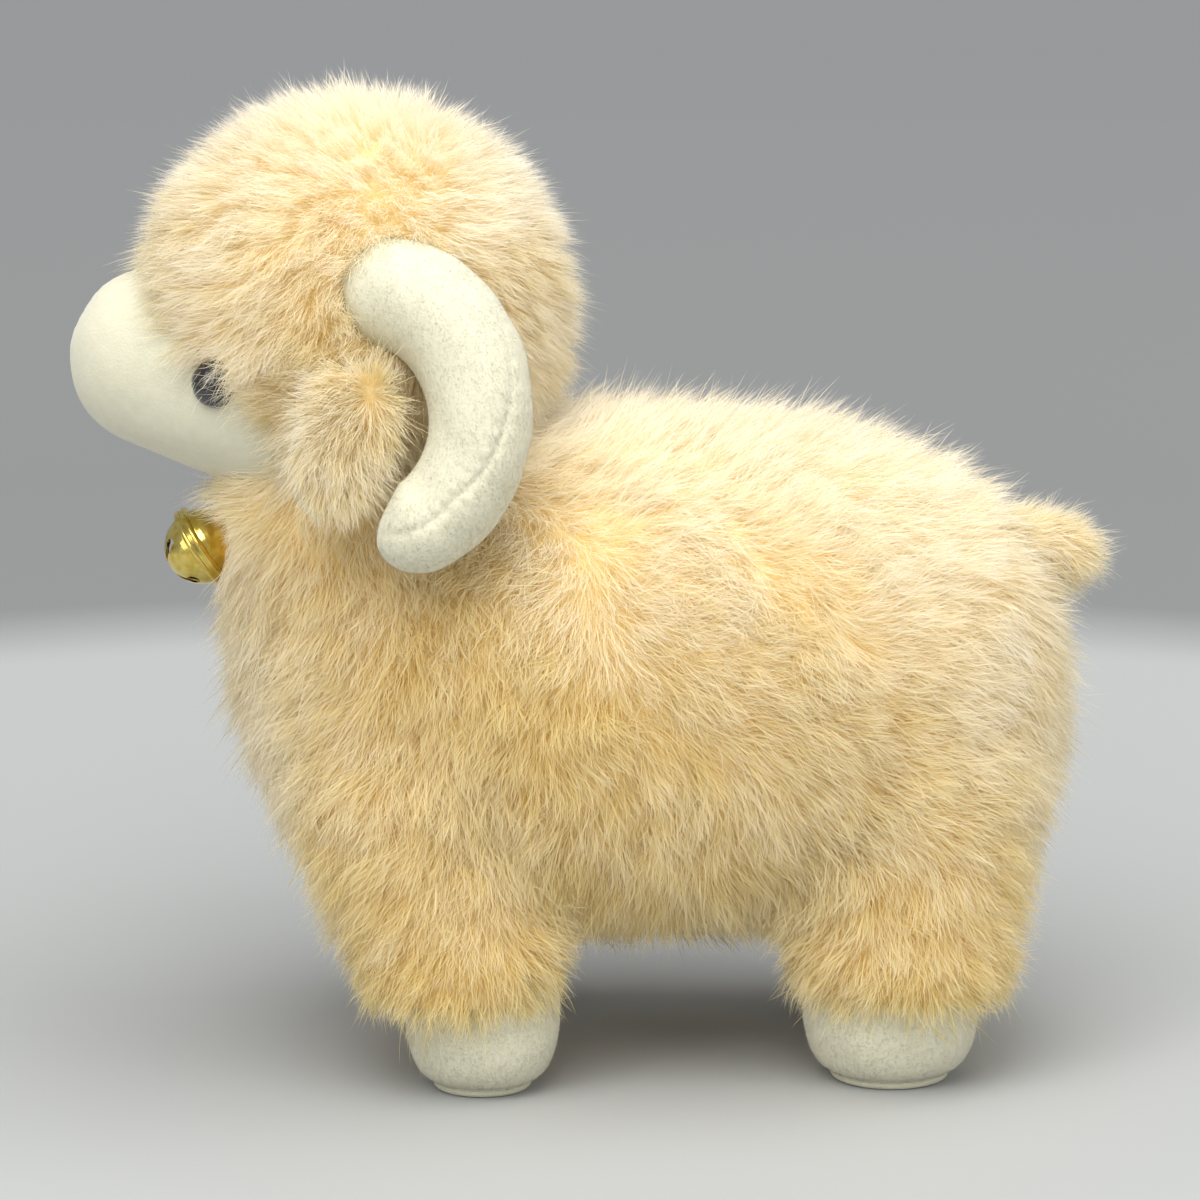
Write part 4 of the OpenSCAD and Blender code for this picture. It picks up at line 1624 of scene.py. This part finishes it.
@dataclass
class Face:
    """The white face: a tight skin over muzzle, cheeks and brow, in two halves with a seam between.

    Args:
        muzzle: Middle of the right ball under the muzzle, from the head's joint.
        cheek: Middle of the right ball under the cheek.
        brow: Middle of the large ball behind them.
        heart: A point well inside.
        muzzle_r: Radius of the small balls over the nap.
        root_r: Radius of the large ball over the nap.
        pile: Depth of the nap.
        back: Degrees from straight ahead to the face's edge under the hood.
        smoothing: How often the skin is evened out.
        seam: Depth of the seam, and how far from it the plush sinks.
        pucker: Height of the seam's puckers, their distance, and how far from the seam they reach.
        mean_reach: Usual distance of the seam from the heart.
        dent: Depth and size of the soft dents.
        nap: Which way the nap leans.
    """

    muzzle: Triple = (-55.5, 2.5, -13.0)
    cheek: Triple = (-21.0, 19.0, -21.0)
    brow: Triple = (-13.0, 0.0, -16.0)
    heart: Triple = (-30.0, 0.0, -15.0)
    muzzle_r: float = 24.5
    root_r: float = 38.0
    pile: float = 1.0
    back: float = 128.0
    smoothing: int = 6
    seam: Pair = (1.0, 1.3)
    pucker: Triple = (0.22, 4.2, 3.0)
    mean_reach: float = 62.0
    dent: Pair = (0.35, 22.0)
    nap: Triple = (0.6, 0.0, -0.6)
    hull: Hull = field(init=False)
    right: Skin = field(init=False)

    def __post_init__(self) -> None:
        """Places the balls under the skin from the head's joint, and lays the right half over them."""
        head = joint_at("head_nod")
        small = np.array([self.muzzle, self.muzzle * MIRROR, self.cheek, self.cheek * MIRROR])
        balls = np.vstack([small, self.brow]) + head
        radii = np.array([self.muzzle_r] * len(small) + [self.root_r]) - self.pile
        self.hull = Hull(balls, radii, head + self.heart)
        self.right = self.half()

    def half(self) -> Skin:
        """The right half: rays from the heart, wider apart behind, with the seam drawn in at the edge.

        Returns:
            An open surface on the right side.
        """
        rows, columns, first = 110, 75, 0.4
        leans = np.radians(np.linspace(first, self.back, rows))
        rays = rays_at(leans, np.pi / 2 * np.sin(np.linspace(-np.pi / 2, np.pi / 2, columns)))
        reach = self.hull.reach(rays).reshape(rows, columns)
        for _ in range(self.smoothing):
            padded = np.pad(reach, 1, mode="edge")
            beside = padded[:-2, 1:-1] + padded[2:, 1:-1] + padded[1:-1, :-2] + padded[1:-1, 2:]
            reach = 0.5 * reach + 0.125 * beside
        points = self.hull.heart + rays * reach.reshape(-1, 1)
        across = np.abs(points[:, 1])
        travel = np.repeat(leans * self.mean_reach, columns)
        depth, width = self.seam
        seam = -depth * np.exp(-((across / width) ** 2))
        height, step, spread = self.pucker
        pucker = height * np.cos(2 * np.pi * travel / step) * np.exp(-((across / spread) ** 2))
        dents = self.dent[0] * Ripple(seed=91, size=self.dent[1]).at(points)
        points = points + rays * (seam + pucker + dents)[:, None]
        points[:, 1] = np.maximum(points[:, 1], 0.05)
        return sheet(points.reshape(rows, columns, 3)[:, ::-1])

    def build(self) -> None:
        """Adds both halves and their nap."""
        for side in Side:
            nap = Nap(self.nap, density=2.6, seed=40 + side.value)
            nap.cover(self.right.on(side), f"face_{side.word}", HEAD, FIRM, CLOTH_T)


@dataclass
class Hood:
    """The fur of the head: a round skin that leaves the face free.

    Args:
        face: The face that it frames.
        torso: The torso, whose neck hides part of it.
        radius: Radius of the cloth.
        crown_half: Half of the crown gusset's width.
        eye_gap: Radius of the thin patch in front of an eye.
        eye_behind: How far behind the eye's middle that patch starts.
        brow_share: Share of the hairs that stay there.
        hairline: How far from the face's skin the fur starts above the jaw, and below it.
        tuck: How far the cloth reaches under the face's edge.
        jaw: Where the fur starts under the jaw, its X and Z from the head's middle.
        jaw_slope: How the fur's edge rises along the jaw.
        jaw_rag: How uneven that edge is.
        jaw_reach: Share of the full length there.
        collar: Depth below the head's middle at which the cloth ends, inside the neck.
        neck_depth: Depth in the neck at which no more hairs grow.
        horn_depth: Depth in a horn's root at which no more hairs grow.
        filling_gap: Depth of the filling under the outside of the cloth.
        tone: Mean tone of the fur.
        pile: How its fur grows.
    """

    face: Face
    torso: Torso
    radius: float = 55.0
    crown_half: float = 17.0
    eye_gap: float = 6.8
    eye_behind: float = 4.0
    brow_share: float = 0.16
    hairline: Pair = (2.6, 0.6)
    tuck: float = 1.6
    jaw: Pair = (-48.0, -34.5)
    jaw_slope: float = 0.15
    jaw_rag: float = 1.2
    jaw_reach: float = 0.62
    collar: float = 40.0
    neck_depth: float = 6.0
    horn_depth: float = 4.0
    filling_gap: float = 3.0
    tone: float = 0.64
    pile: Pile = Pile(14.5, 0.188, 4.25, lock=6.2, clump=0.58, tousle=56.0, droop=0.08)

    def panel_of(self, points: Array) -> Array:
        """Which panel each point belongs to: -1 left side, 1 right side, 0 crown."""
        return np.where(np.abs(points[:, 1]) < self.crown_half, 0, np.sign(points[:, 1]))

    def free(self, points: Array, hidden: float) -> Array:
        """Which points of the hood are outside the face: by the hairline's gap above, hardly below."""
        above = points[:, 2] > joint_at("head_nod")[2] + self.jaw[1]
        wide, narrow = (self.face.hull.clear(points, gap - hidden) for gap in self.hairline)
        return np.where(above, wide, narrow)

    def before_eyes(self, points: Array) -> Array:
        """Which points are in front of an eye, measured from the way it looks."""
        low, high = node_box("eye_left")
        middle = (low + high) / 2
        looking = unit(np.array([EYE_LOOKS[0], -EYE_LOOKS[1], 0.0]))
        away = on_left(points) - middle
        ahead = away @ looking
        aside = np.linalg.norm(away - ahead[..., None] * looking, axis=-1)
        return (aside < self.eye_gap) & (ahead > -self.eye_behind)

    def throat(self, rng: Random) -> Roots:
        """Roots on the underside of the face, where the throat's fur reaches up to the jaw."""
        head = joint_at("head_nod")
        halves = [self.face.right.on(side) for side in Side]
        found = [half.scatter(self.pile.density, rng) for half in halves]
        roots = Roots(*(np.vstack(parts) for parts in zip(*((f.points, f.normals) for f in found))))
        places = roots.points - head
        ragged = self.jaw_rag * rng.normal(size=len(places))
        back = places[:, 0] - self.jaw[0]
        return roots.kept((back > ragged) & (places[:, 2] < self.jaw[1] + self.jaw_slope * back + ragged))

    def roots(self, skin: Skin, rng: Random) -> tuple[Roots, Array]:
        """Roots on the hood and under the jaw, with none in the face, the neck or a horn's root.

        Args:
            skin: The hood's cloth, with the part that the face hides.
            rng: Source of the random numbers.

        Returns:
            The roots, and the share of the full length of the hair at each.
        """
        hood = skin.scatter(self.pile.density, rng)
        bare = self.free(hood.points, 0.0) & (self.torso.form.depth(hood.points) > -self.neck_depth)
        for side in Side:
            bare &= Horn(side).away(hood.points) > -self.horn_depth
        hood = hood.kept(bare)
        throat = self.throat(rng)
        reach = np.repeat([1.0, self.jaw_reach], [len(hood.points), len(throat.points)])
        both = Roots(np.vstack([hood.points, throat.points]), np.vstack([hood.normals, throat.normals]))
        return both, reach

    def build(self) -> None:
        """Adds the two sides, the crown, the filling and the coat."""
        head = joint_at("head_nod")
        lean = np.linspace(0, np.pi, 74)[1:-1]
        skin = tube(turned(self.radius * np.sin(lean), -self.radius * np.cos(lean), 120) + head)
        middles = skin.middles()
        free = self.free(middles, self.tuck) & (middles[:, 2] > head[2] - self.collar)
        owners = self.panel_of(middles)
        names = {-1: "hood_left", 1: "hood_right", 0: "crown_gusset"}
        for owner, name in names.items():
            backing(skin.part(free & (owners == owner)), name, HEAD, FIRM, CLOTH_T)
        shrunk = 1 - self.filling_gap / self.radius
        filling = Piece("head_stuffing_fibre", HEAD, FIBRE, Slot.FILLING, ("head_stuffing",), FIRM)
        filling.add(Skin((skin.points - head) * shrunk + head, skin.faces))
        rng = np.random.default_rng(7)
        roots, reach = self.roots(skin, rng)
        tone = toned(roots.points, HEAD_TONE_AND_PAINTED_LIGHT, self.tone)
        coat = self.pile.grow(roots, HEAD_COMB, 51, tone, reach)
        coat = coat.pushed(lambda ends: self.face.hull.pushed_out(ends, HAIR_GAP))
        coat = coat.thinned(self.before_eyes, self.brow_share, rng)
        for owner, name in names.items():
            cut = coat.kept(lambda spots: self.panel_of(spots) == owner)
            cut.add(Piece(f"{name}_fur", HEAD, FUR, Slot.FUR))


@dataclass
class Eye:
    """A domed safety eye on its shank, which looks forwards and to its side.

    Args:
        side: Which side it is on.
        dome: Height of the dome.
        shank_r: Radius of the shank.
        shank_length: Length of the shank.
        radius: Radius of the dome.
        rim: Height of the flat rim that the dome stands on.
    """

    side: Side
    dome: float = 4.6
    shank_r: float = 2.0
    shank_length: float = 11.0
    radius: float = 7.0
    rim: float = 0.7

    def build(self) -> None:
        """Adds the eye: a profile turned about the way it looks, from the shank's end to the dome."""
        name = f"eye_{self.side.word}"
        low, high = node_box(name)
        looking = unit(np.array([EYE_LOOKS[0], EYE_LOOKS[1] * self.side.value, 0.0]))
        across = unit(np.cross(-DOWN, looking))
        rise = np.cross(looking, across)
        bend = np.linspace(0, np.pi / 2, 22)[:-1]
        radii = np.concatenate([
            [self.shank_r * 0.9, self.shank_r, self.shank_r, self.radius - 0.5, self.radius - 0.1],
            self.radius * np.cos(bend)])
        heights = np.concatenate([
            [-self.shank_length, -self.shank_length + 0.3, self.rim - 0.2, self.rim, self.rim + 0.15],
            self.rim + 0.5 + self.dome * np.sin(bend)])
        grid = turned(radii, heights - (heights.max() + heights.min()) / 2, 64)
        placed = grid[:, :, :1] * across + grid[:, :, 1:2] * rise + grid[:, :, 2:] * looking
        Piece(f"{name}_dome", HEAD, BLACK, Slot.EYE, (name,)).add(tube(placed + (low + high) / 2))


@dataclass
class Horn:
    """A curled horn of plush in two halves, with a puckered seam along each side.

    Args:
        side: Which side it is on.
        radius: Its radius at the root.
        taper: Share of the radius that it loses up to the tip.
        turn_from: Degrees of the curl at the root, 0 on top and 90 behind.
        turn_to: Degrees of the curl at the tip.
        middle: Middle of the curl, from the head's joint.
        curl: Half of the curl's length and height.
        root_y: Distance of the root from the middle of the head.
        side_y: Distance of the tip from the middle of the head.
        twist: Degrees by which the seams are turned at the root, where they run along the curl's edge.
        untwist: Share of that by which they turn back, where that starts, and how long it takes.
        seam: Depth of the seams, and how far from them the plush sinks.
        pucker: Height of the seams' puckers and their distance.
        tight: Where the seams start to pull, how long that takes, and the least pull.
        dent: Depth and size of the soft dents.
        nap: Which way the nap leans.
    """

    side: Side
    radius: float = 16.8
    taper: float = 0.25
    turn_from: float = -27.0
    turn_to: float = 188.0
    middle: Triple = (12.5, 0.0, -20.0)
    curl: Pair = (25.0, 31.0)
    root_y: float = 38.0
    side_y: float = 75.0
    twist: float = 68.0
    untwist: Triple = (1.1, 0.36, 0.40)
    seam: Pair = (0.6, 1.3)
    pucker: Pair = (0.20, 4.3)
    tight: Triple = (0.3, 0.3, 0.25)
    dent: Pair = (0.30, 17.0)
    nap: Triple = (0.5, 0.0, -0.8)

    def angle(self, share: Array) -> Array:
        """How far round the curl each place along the horn is."""
        return np.radians(self.turn_from + (self.turn_to - self.turn_from) * share)

    def path(self, share: Array) -> Array:
        """Middle of the horn on the right side: part of an ellipse that swings outwards.

        Args:
            share: Places along the horn, from 0 to 1.

        Returns:
            One point for each place.
        """
        middle = joint_at("head_nod") + self.middle
        angle = self.angle(share)
        out = self.root_y + (self.side_y - self.root_y) * (1 - (1 - share) ** 2)
        ahead = middle[0] + self.curl[0] * np.sin(angle)
        return np.stack([ahead, out, middle[2] + self.curl[1] * np.cos(angle)], -1)

    def away(self, points: Array) -> Array:
        """Distance of points from the surface of the horn's lower part, with its side allowed for."""
        folded = points * np.array([1.0, self.side.value, 1.0])
        nodes = self.path(np.linspace(0.02, 0.5, 14))
        return np.linalg.norm(folded[:, None] - nodes[None], axis=2).min(1) - self.radius

    def half(self, middle: float) -> Skin:
        """One half of the cover: half circles carried along the path, with a round root and tip.

        Args:
            middle: Angle of the middle of the half round the horn, 0 outside the curl and 180 inside it.

        Returns:
            An open surface on the right side.
        """
        rows, columns = 190, 41
        share = (1 - np.cos(np.linspace(0, np.pi, rows))) / 2
        share = 0.5 * share + 0.5 * np.linspace(0, 1, rows)
        places = self.path(share)
        ahead = unit(self.path(share + 0.001) - self.path(share - 0.001))
        angle = self.angle(share)
        away = np.stack([np.sin(angle), np.zeros(rows), np.cos(angle)], 1)
        out = unit(flattened(away, ahead))
        sideways = np.cross(ahead, out)
        steps = np.linalg.norm(np.diff(places, axis=0), axis=1)
        travel = np.concatenate([[0], np.cumsum(steps)])
        slim = self.radius * (1 - self.taper * travel / travel[-1])
        root = np.sqrt(np.clip(1 - (1 - np.minimum(travel / self.radius, 1)) ** 2, 0, 1))
        tip = np.sqrt(np.clip(1 - (1 - np.minimum((travel[-1] - travel) / slim, 1)) ** 2, 0, 1))
        radius = np.maximum(slim * root * tip, 0.04)[:, None]
        spread = np.pi / 2 * np.sin(np.linspace(-np.pi / 2, np.pi / 2, columns))[None]
        from_seam = radius * (np.pi / 2 - np.abs(spread))
        settle = np.minimum(1, radius / 6)
        start, over, least = self.tight
        tight = np.clip((share - start) / over, least, 1)[:, None]
        depth, width = self.seam
        seam = -depth * tight * np.exp(-((from_seam / width) ** 2))
        height, step = self.pucker
        waves = np.cos(2 * np.pi * travel / step + 1.6 * np.sin(travel / 7))[:, None]
        beside = np.exp(-((from_seam / 3.2) ** 2)) * (1 - np.exp(-((from_seam / 0.8) ** 2)))
        pucker = height * tight * waves * beside
        back, start, over = self.untwist
        twist = np.radians(self.twist) * (1 - back * np.clip((share - start) / over, 0, 1))
        points_round = np.radians(middle) + twist[:, None] + spread
        facing = np.cos(points_round)[:, :, None] * out[:, None]
        facing = facing + np.sin(points_round)[:, :, None] * sideways[:, None]
        grid = places[:, None] + facing * radius[:, :, None]
        dents = Ripple(23, self.dent[1]).at(grid.reshape(-1, 3)).reshape(rows, columns)
        grid = grid + facing * (settle * (seam + pucker + self.dent[0] * dents))[:, :, None]
        return sheet(grid)

    def build(self) -> None:
        """Adds both halves and their nap."""
        for part, middle in (("outer", 0.0), ("inner", 180.0)):
            name = f"horn_{part}_{self.side.word}"
            nap = Nap(self.nap, density=2.4, seed=80 + len(name))
            nap.cover(self.half(middle).on(self.side), name, f"horn_{self.side.word}", FIRM, CLOTH_T)


EAR_COMB = Comb((
    Stroke((-66, -70, 213), (-0.3, -0.4, 0.8), 6, 1.10),
    Stroke((-59, -70, 209), (0.6, -0.5, 0.5), 6, 1.00),
    Stroke((-55, -70, 200), (0.8, -0.5, 0.0), 6, 1.00),
    Stroke((-55, -70, 188), (0.8, -0.4, -0.6), 6, 0.90),
    Stroke((-71, -70, 203), (-0.8, -0.3, -0.2), 7, 1.00),
    Stroke((-74, -70, 206), (-0.9, -0.2, -0.1), 8, 0.90),
    Stroke((-79, -70, 194), (-1.0, -0.1, -0.4), 8, 0.80),
    Stroke((-77, -70, 182), (0.2, -0.1, -0.9), 7, 0.50),
    Stroke((-61, -70, 190), (0.2, -0.2, -1.0), 7, 0.85),
    Stroke((-68, -70, 192), (-0.5, -0.2, -0.8), 8, 0.80),
    Stroke((-70, -70, 174), (0.1, 0.0, -1.0), 9, 0.50),
), base=(-0.3, 0.0, -1.0), wander=10.0)
EAR_SPOTS = (Spot((-79, -70, 200), 9, 0.32), Spot((-58, -70, 198), 9, -0.30))


@dataclass
class Ear:
    """A drooping ear: a furry back and a plush lining.

    Args:
        side: Which side it is on.
        length: Its length.
        back: Half of the back's greatest width and of its thickness.
        back_at: Where the back starts, from the hinge.
        back_fill: How tightly the back is stuffed.
        lining: Half of the lining's greatest width and of its thickness.
        lining_at: Where the lining starts, from the hinge.
        lining_fill: How tightly the lining is stuffed.
        rim: How far round the back's edge hairs grow, 0 for half way.
        tone: Mean tone of the fur.
        pile: How its fur grows.
        nap: Which way the lining's nap leans.
    """

    side: Side
    length: float = 37.0
    back: Pair = (11.5, 1.8)
    back_at: Triple = (1.0, 2.4, 5.0)
    back_fill: float = 0.4
    lining: Pair = (10.5, 0.9)
    lining_at: Triple = (-3.6, 1.2, 1.0)
    lining_fill: float = 0.3
    rim: float = 0.35
    tone: float = 0.62
    pile: Pile = Pile(length=13.0, width=0.2, density=8.5, lock=4.8, droop=0.12)
    nap: Triple = (-0.2, 0.0, -1.0)

    def leaf(self, wide: float, thick: float, shift: Triple) -> Skin:
        """A pillow with the ear's outline: flat ellipses carried down a line, wide in the middle.

        Args:
            wide: Half of its greatest width.
            thick: Half of its thickness.
            shift: Move from the hinge, on the right side.

        Returns:
            A closed surface on the right side.
        """
        hinge = joint_at("ear_right_flop") + shift
        share = np.linspace(0.015, 0.985, 34)
        width = wide * (1 - (2 * share - 0.92) ** 2 / 1.16) ** 0.55
        swell = thick * np.sin(np.pi * np.clip(share, 0.02, 0.98)) ** 0.5
        turn = round_angles(40)
        x = width[:, None] * np.cos(turn) - (1.5 + 6.0 * share[:, None])
        y = swell[:, None] * np.sin(turn)
        z = np.broadcast_to(-self.length * share[:, None], x.shape)
        return tube(np.stack([x, y, z], 2)[:, ::-1] + hinge)

    def build(self) -> None:
        """Adds the back with its fur, and the lining with its nap."""
        word = self.side.word
        body = f"ear_{word}"
        back = self.leaf(*self.back, self.back_at).on(self.side)
        backing(back, f"ear_back_{word}", body, self.back_fill)
        lining = self.leaf(*self.lining, self.lining_at).on(self.side)
        nap = Nap(self.nap, density=2.0, seed=95 + self.side.value)
        nap.cover(lining, f"ear_lining_{word}", body, self.lining_fill)
        rng = np.random.default_rng(15 + self.side.value)
        roots = back.scatter(self.pile.density, rng)
        roots = roots.kept(roots.normals[:, 1] * self.side.value > -self.rim)
        coat = self.pile.grow(roots, EAR_COMB, 61, toned(roots.points, EAR_SPOTS, self.tone))
        coat.add(Piece(f"ear_back_{word}_fur", body, FUR, Slot.FUR))


@dataclass
class Tail:
    """A stub of a tail: a turned drop in two halves, brushed backwards.

    Args:
        radius: Radius of the cloth.
        length: Length of the cloth behind the joint.
        cloth: Thickness of the cloth.
        bare: How far in front of the joint hairs still grow.
        tone: Mean tone of the fur.
        pile: How its fur grows.
    """

    radius: float = 7.6
    length: float = 21.0
    cloth: float = 1.0
    bare: float = 2.0
    tone: float = 0.78
    pile: Pile = Pile(length=13.0, width=0.21, density=8.0, lock=4.2, droop=0.1)

    def build(self) -> None:
        """Adds the upper and the lower half and the fur on both."""
        root = joint_at("tail_wag")
        halves = {"tail_upper": True, "tail_under": False}
        bend = np.linspace(0, np.pi, 34)[1:-1]
        ahead = np.where(np.cos(bend) > 0, -self.radius * np.cos(bend), -self.length * np.cos(bend))
        grid = turned(self.radius * np.sin(bend) ** 0.8, ahead, 48)
        grid = np.stack([grid[:, :, 2], grid[:, :, 1], -grid[:, :, 0]], 2)
        skin = tube(grid + root)
        upper = skin.middles()[:, 2] > root[2]
        for name, above in halves.items():
            backing(skin.part(upper == above), name, "tail", SOFT, self.cloth)
        rng = np.random.default_rng(77)
        roots = skin.scatter(self.pile.density, rng)
        roots = roots.kept(roots.points[:, 0] > root[0] - self.bare)
        comb = Comb((Stroke(tuple(root + [10, 0, 0]), (1.0, 0.0, -0.12), 40),), wander=10.0)
        coat = self.pile.grow(roots, comb, 71, toned(roots.points, (), self.tone))
        for name, above in halves.items():
            cut = coat.kept(lambda spots: (spots[:, 2] > root[2]) == above)
            cut.add(Piece(f"{name}_fur", "tail", FUR, Slot.FUR))


@dataclass(frozen=True)
class Bell:
    """The bell's crimped rim: two rolled ridges round the joint of its halves.

    Args:
        tilt: Degrees by which the bell's axis points below straight ahead.
        radius: Radius of the bell's ball.
        rim_half: Half of the rim's width.
        foot: How far the rim's foot goes into the ball and stands out of it.
        ridge: Height of the ridges on the foot.
        room: Clear space for the bell in the fur, from its middle.
        ahead: How far in front of its middle the fur is parted on both sides of it.
    """

    tilt: float = 33.0
    radius: float = 11.0
    rim_half: float = 2.1
    foot: float = 0.5
    ridge: float = 1.1
    room: float = 13.2
    ahead: float = 3.5

    @property
    def middle(self) -> Array:
        """Middle of the ball, from the boxes of its halves."""
        boxes = np.array([node_box("bell_cap"), node_box("bell_cup")])
        return (boxes[:, 0].min(0) + boxes[:, 1].max(0)) / 2

    def around(self, points: Array) -> Array:
        """Which points are in the bell's room, or beside it where they would hide its front."""
        away = points - self.middle
        beside = np.hypot(away[..., 0] + self.ahead, away[..., 2]) < self.radius
        return (np.linalg.norm(away, axis=-1) < self.room) | beside

    def build(self) -> None:
        """Adds the rim: a profile with two ridges, turned about the bell's axis."""
        columns = 96
        turn = np.linspace(-np.pi, np.pi, 41)
        radii = self.radius + self.foot + self.ridge * np.abs(np.sin(turn)) ** 0.7
        radii[[0, -1]] = self.radius - self.foot
        grid = turned(radii, self.rim_half * turn / np.pi, columns)
        lean = np.radians(self.tilt)
        axis = np.array([-np.cos(lean), 0.0, -np.sin(lean)])
        across = np.array([0.0, 1.0, 0.0])
        rise = np.cross(axis, across)
        placed = grid[:, :, :1] * across + grid[:, :, 1:2] * rise + grid[:, :, 2:] * axis
        skin = tube(placed + self.middle)
        ring = skin.part(np.arange(len(skin.faces)) < 2 * columns * (len(radii) - 1))
        Piece("bell_crimp", "bell", BRASS, Slot.BRASS).add(ring)


# What stays as the frame has it


FITTINGS = (
    (FIBRE, Slot.FILLING, ("body_stuffing", "tail_stuffing", "horn_stuffing_left", "horn_stuffing_right")),
    (BRASS, Slot.BRASS, ("bell_cap", "bell_cup", "bell_eye")),
    (THREAD, Slot.THREAD, ("bell_tie", "nose_stitch")),
    (WASHER, Slot.WASHER, ("eye_washer_left", "eye_washer_right")),
    (STEEL, Slot.STEEL, ("bell_pellet",)),
)


def dress_fittings() -> None:
    """Gives the nodes whose solids are right as they are their finish."""
    for finish, slot, names in FITTINGS:
        for name in names:
            node = frame["nodes"][name]
            node.data.materials.clear()
            node.data.materials.append(material_of(finish))
            node.data.polygons.foreach_set("use_smooth", np.ones(len(node.data.polygons), bool))
            LOG.info("%s: finish %s", name, finish.name)


# The stage


@dataclass(frozen=True)
class Lamp:
    """A square soft lamp that faces the object.

    Args:
        name: Its name.
        place: Where it hangs, in metres.
        power: Its power in watts.
        size: Its side, in metres.
        colour: Colour of its light.
    """

    name: str
    place: Triple
    power: float
    size: float = 1.2
    colour: Colour = (1.0, 0.99, 0.97)

    def add(self, aim: Vector) -> None:
        """Puts the lamp into the scene, turned to the point in metres that it lights."""
        light = bpy.data.lights.new(self.name, "AREA")
        light.size = self.size
        light.energy = self.power
        light.color = self.colour
        made = bpy.data.objects.new(self.name, light)
        made.location = self.place
        made.rotation_euler = (aim - Vector(self.place)).to_track_quat("-Z", "Y").to_euler()
        bpy.context.scene.collection.objects.link(made)


LAMPS = (
    Lamp("key", (-0.4, -1.3, 1.8), 37.0, 1.5, (1.0, 0.985, 0.95)),
    Lamp("top", (0.3, -0.1, 2.0), 26.0, 1.4, (1.0, 0.99, 0.96)),
    Lamp("fill_front", (-1.4, -1.2, 0.7), 7.5),
    Lamp("fill_rear", (1.4, -1.2, 0.8), 11.0),
)


@dataclass(frozen=True)
class Stage:
    """A pale floor, soft lamps, and a camera where the photograph's was.

    Args:
        aim: Point in the middle of the picture, in millimetres.
        yaw: Degrees by which the camera is turned from square.
        elevation: Degrees by which it looks down.
        distance: Distance from the aim, in millimetres.
        focal: Focal length in pixels of the picture.
        picture: Side of the square picture in pixels.
        sensor: Width of the camera's sensor, in millimetres.
        floor_half: Half of the floor's side, in metres.
        room: Brightness of the light from all round.
        room_tint: Its colour.
    """

    aim: Triple = (2.0, 0.0, 132.5)
    yaw: float = 0.5
    elevation: float = 11.0
    distance: float = 1600.0
    focal: float = 5520.0
    picture: float = 1200.0
    sensor: float = 36.0
    floor_half: float = 9.0
    room: float = 0.38
    room_tint: Colour = (0.97, 0.98, 1.0)

    def camera(self) -> None:
        """Adds the camera and makes it the scene's."""
        a, e = math.radians(self.yaw), math.radians(self.elevation)
        ahead = Vector((math.sin(a) * math.cos(e), math.cos(a) * math.cos(e), -math.sin(e)))
        lens = bpy.data.cameras.new("camera")
        lens.sensor_width = self.sensor
        lens.lens = self.focal / self.picture * self.sensor
        lens.clip_start, lens.clip_end = 0.05, 50.0
        made = bpy.data.objects.new("camera", lens)
        made.location = (Vector(self.aim) - ahead * self.distance) * MM
        made.rotation_euler = ahead.to_track_quat("-Z", "Y").to_euler()
        bpy.context.scene.collection.objects.link(made)
        bpy.context.scene.camera = made

    def floor(self) -> None:
        """Adds a wide flat floor."""
        wide = self.floor_half
        corners = [(-wide, -wide, 0.0), (wide, -wide, 0.0), (wide, wide, 0.0), (-wide, wide, 0.0)]
        mesh = bpy.data.meshes.new("floor")
        mesh.from_pydata(corners, [], [(0, 1, 2, 3)])
        mesh.materials.append(material_of(PAPER))
        made = bpy.data.objects.new("floor", mesh)
        bpy.context.scene.collection.objects.link(made)

    def build(self) -> None:
        """Adds camera, floor, lamps and the light of the room."""
        self.camera()
        self.floor()
        for lamp in LAMPS:
            lamp.add(Vector(self.aim) * MM)
        world = bpy.data.worlds.new("room")
        world.use_nodes = True
        glow = world.node_tree.nodes["Background"]
        glow.inputs["Color"].default_value = (*self.room_tint, 1)
        glow.inputs["Strength"].default_value = self.room
        bpy.context.scene.world = world
        bpy.context.scene.view_settings.view_transform = "Standard"


def main() -> None:
    """Builds the stage and every piece, and notes the sizes."""
    logging.basicConfig(level=logging.INFO, format="%(name)s: %(message)s")
    Stage().build()
    dress_fittings()
    face = Face()
    face.build()
    torso = Torso()
    torso.build(face)
    Hood(face, torso).build()
    for side in Side:
        Eye(side).build()
        Horn(side).build()
        Ear(side).build()
    Tail().build()
    Bell().build()


if __name__ == "__main__":
    main()
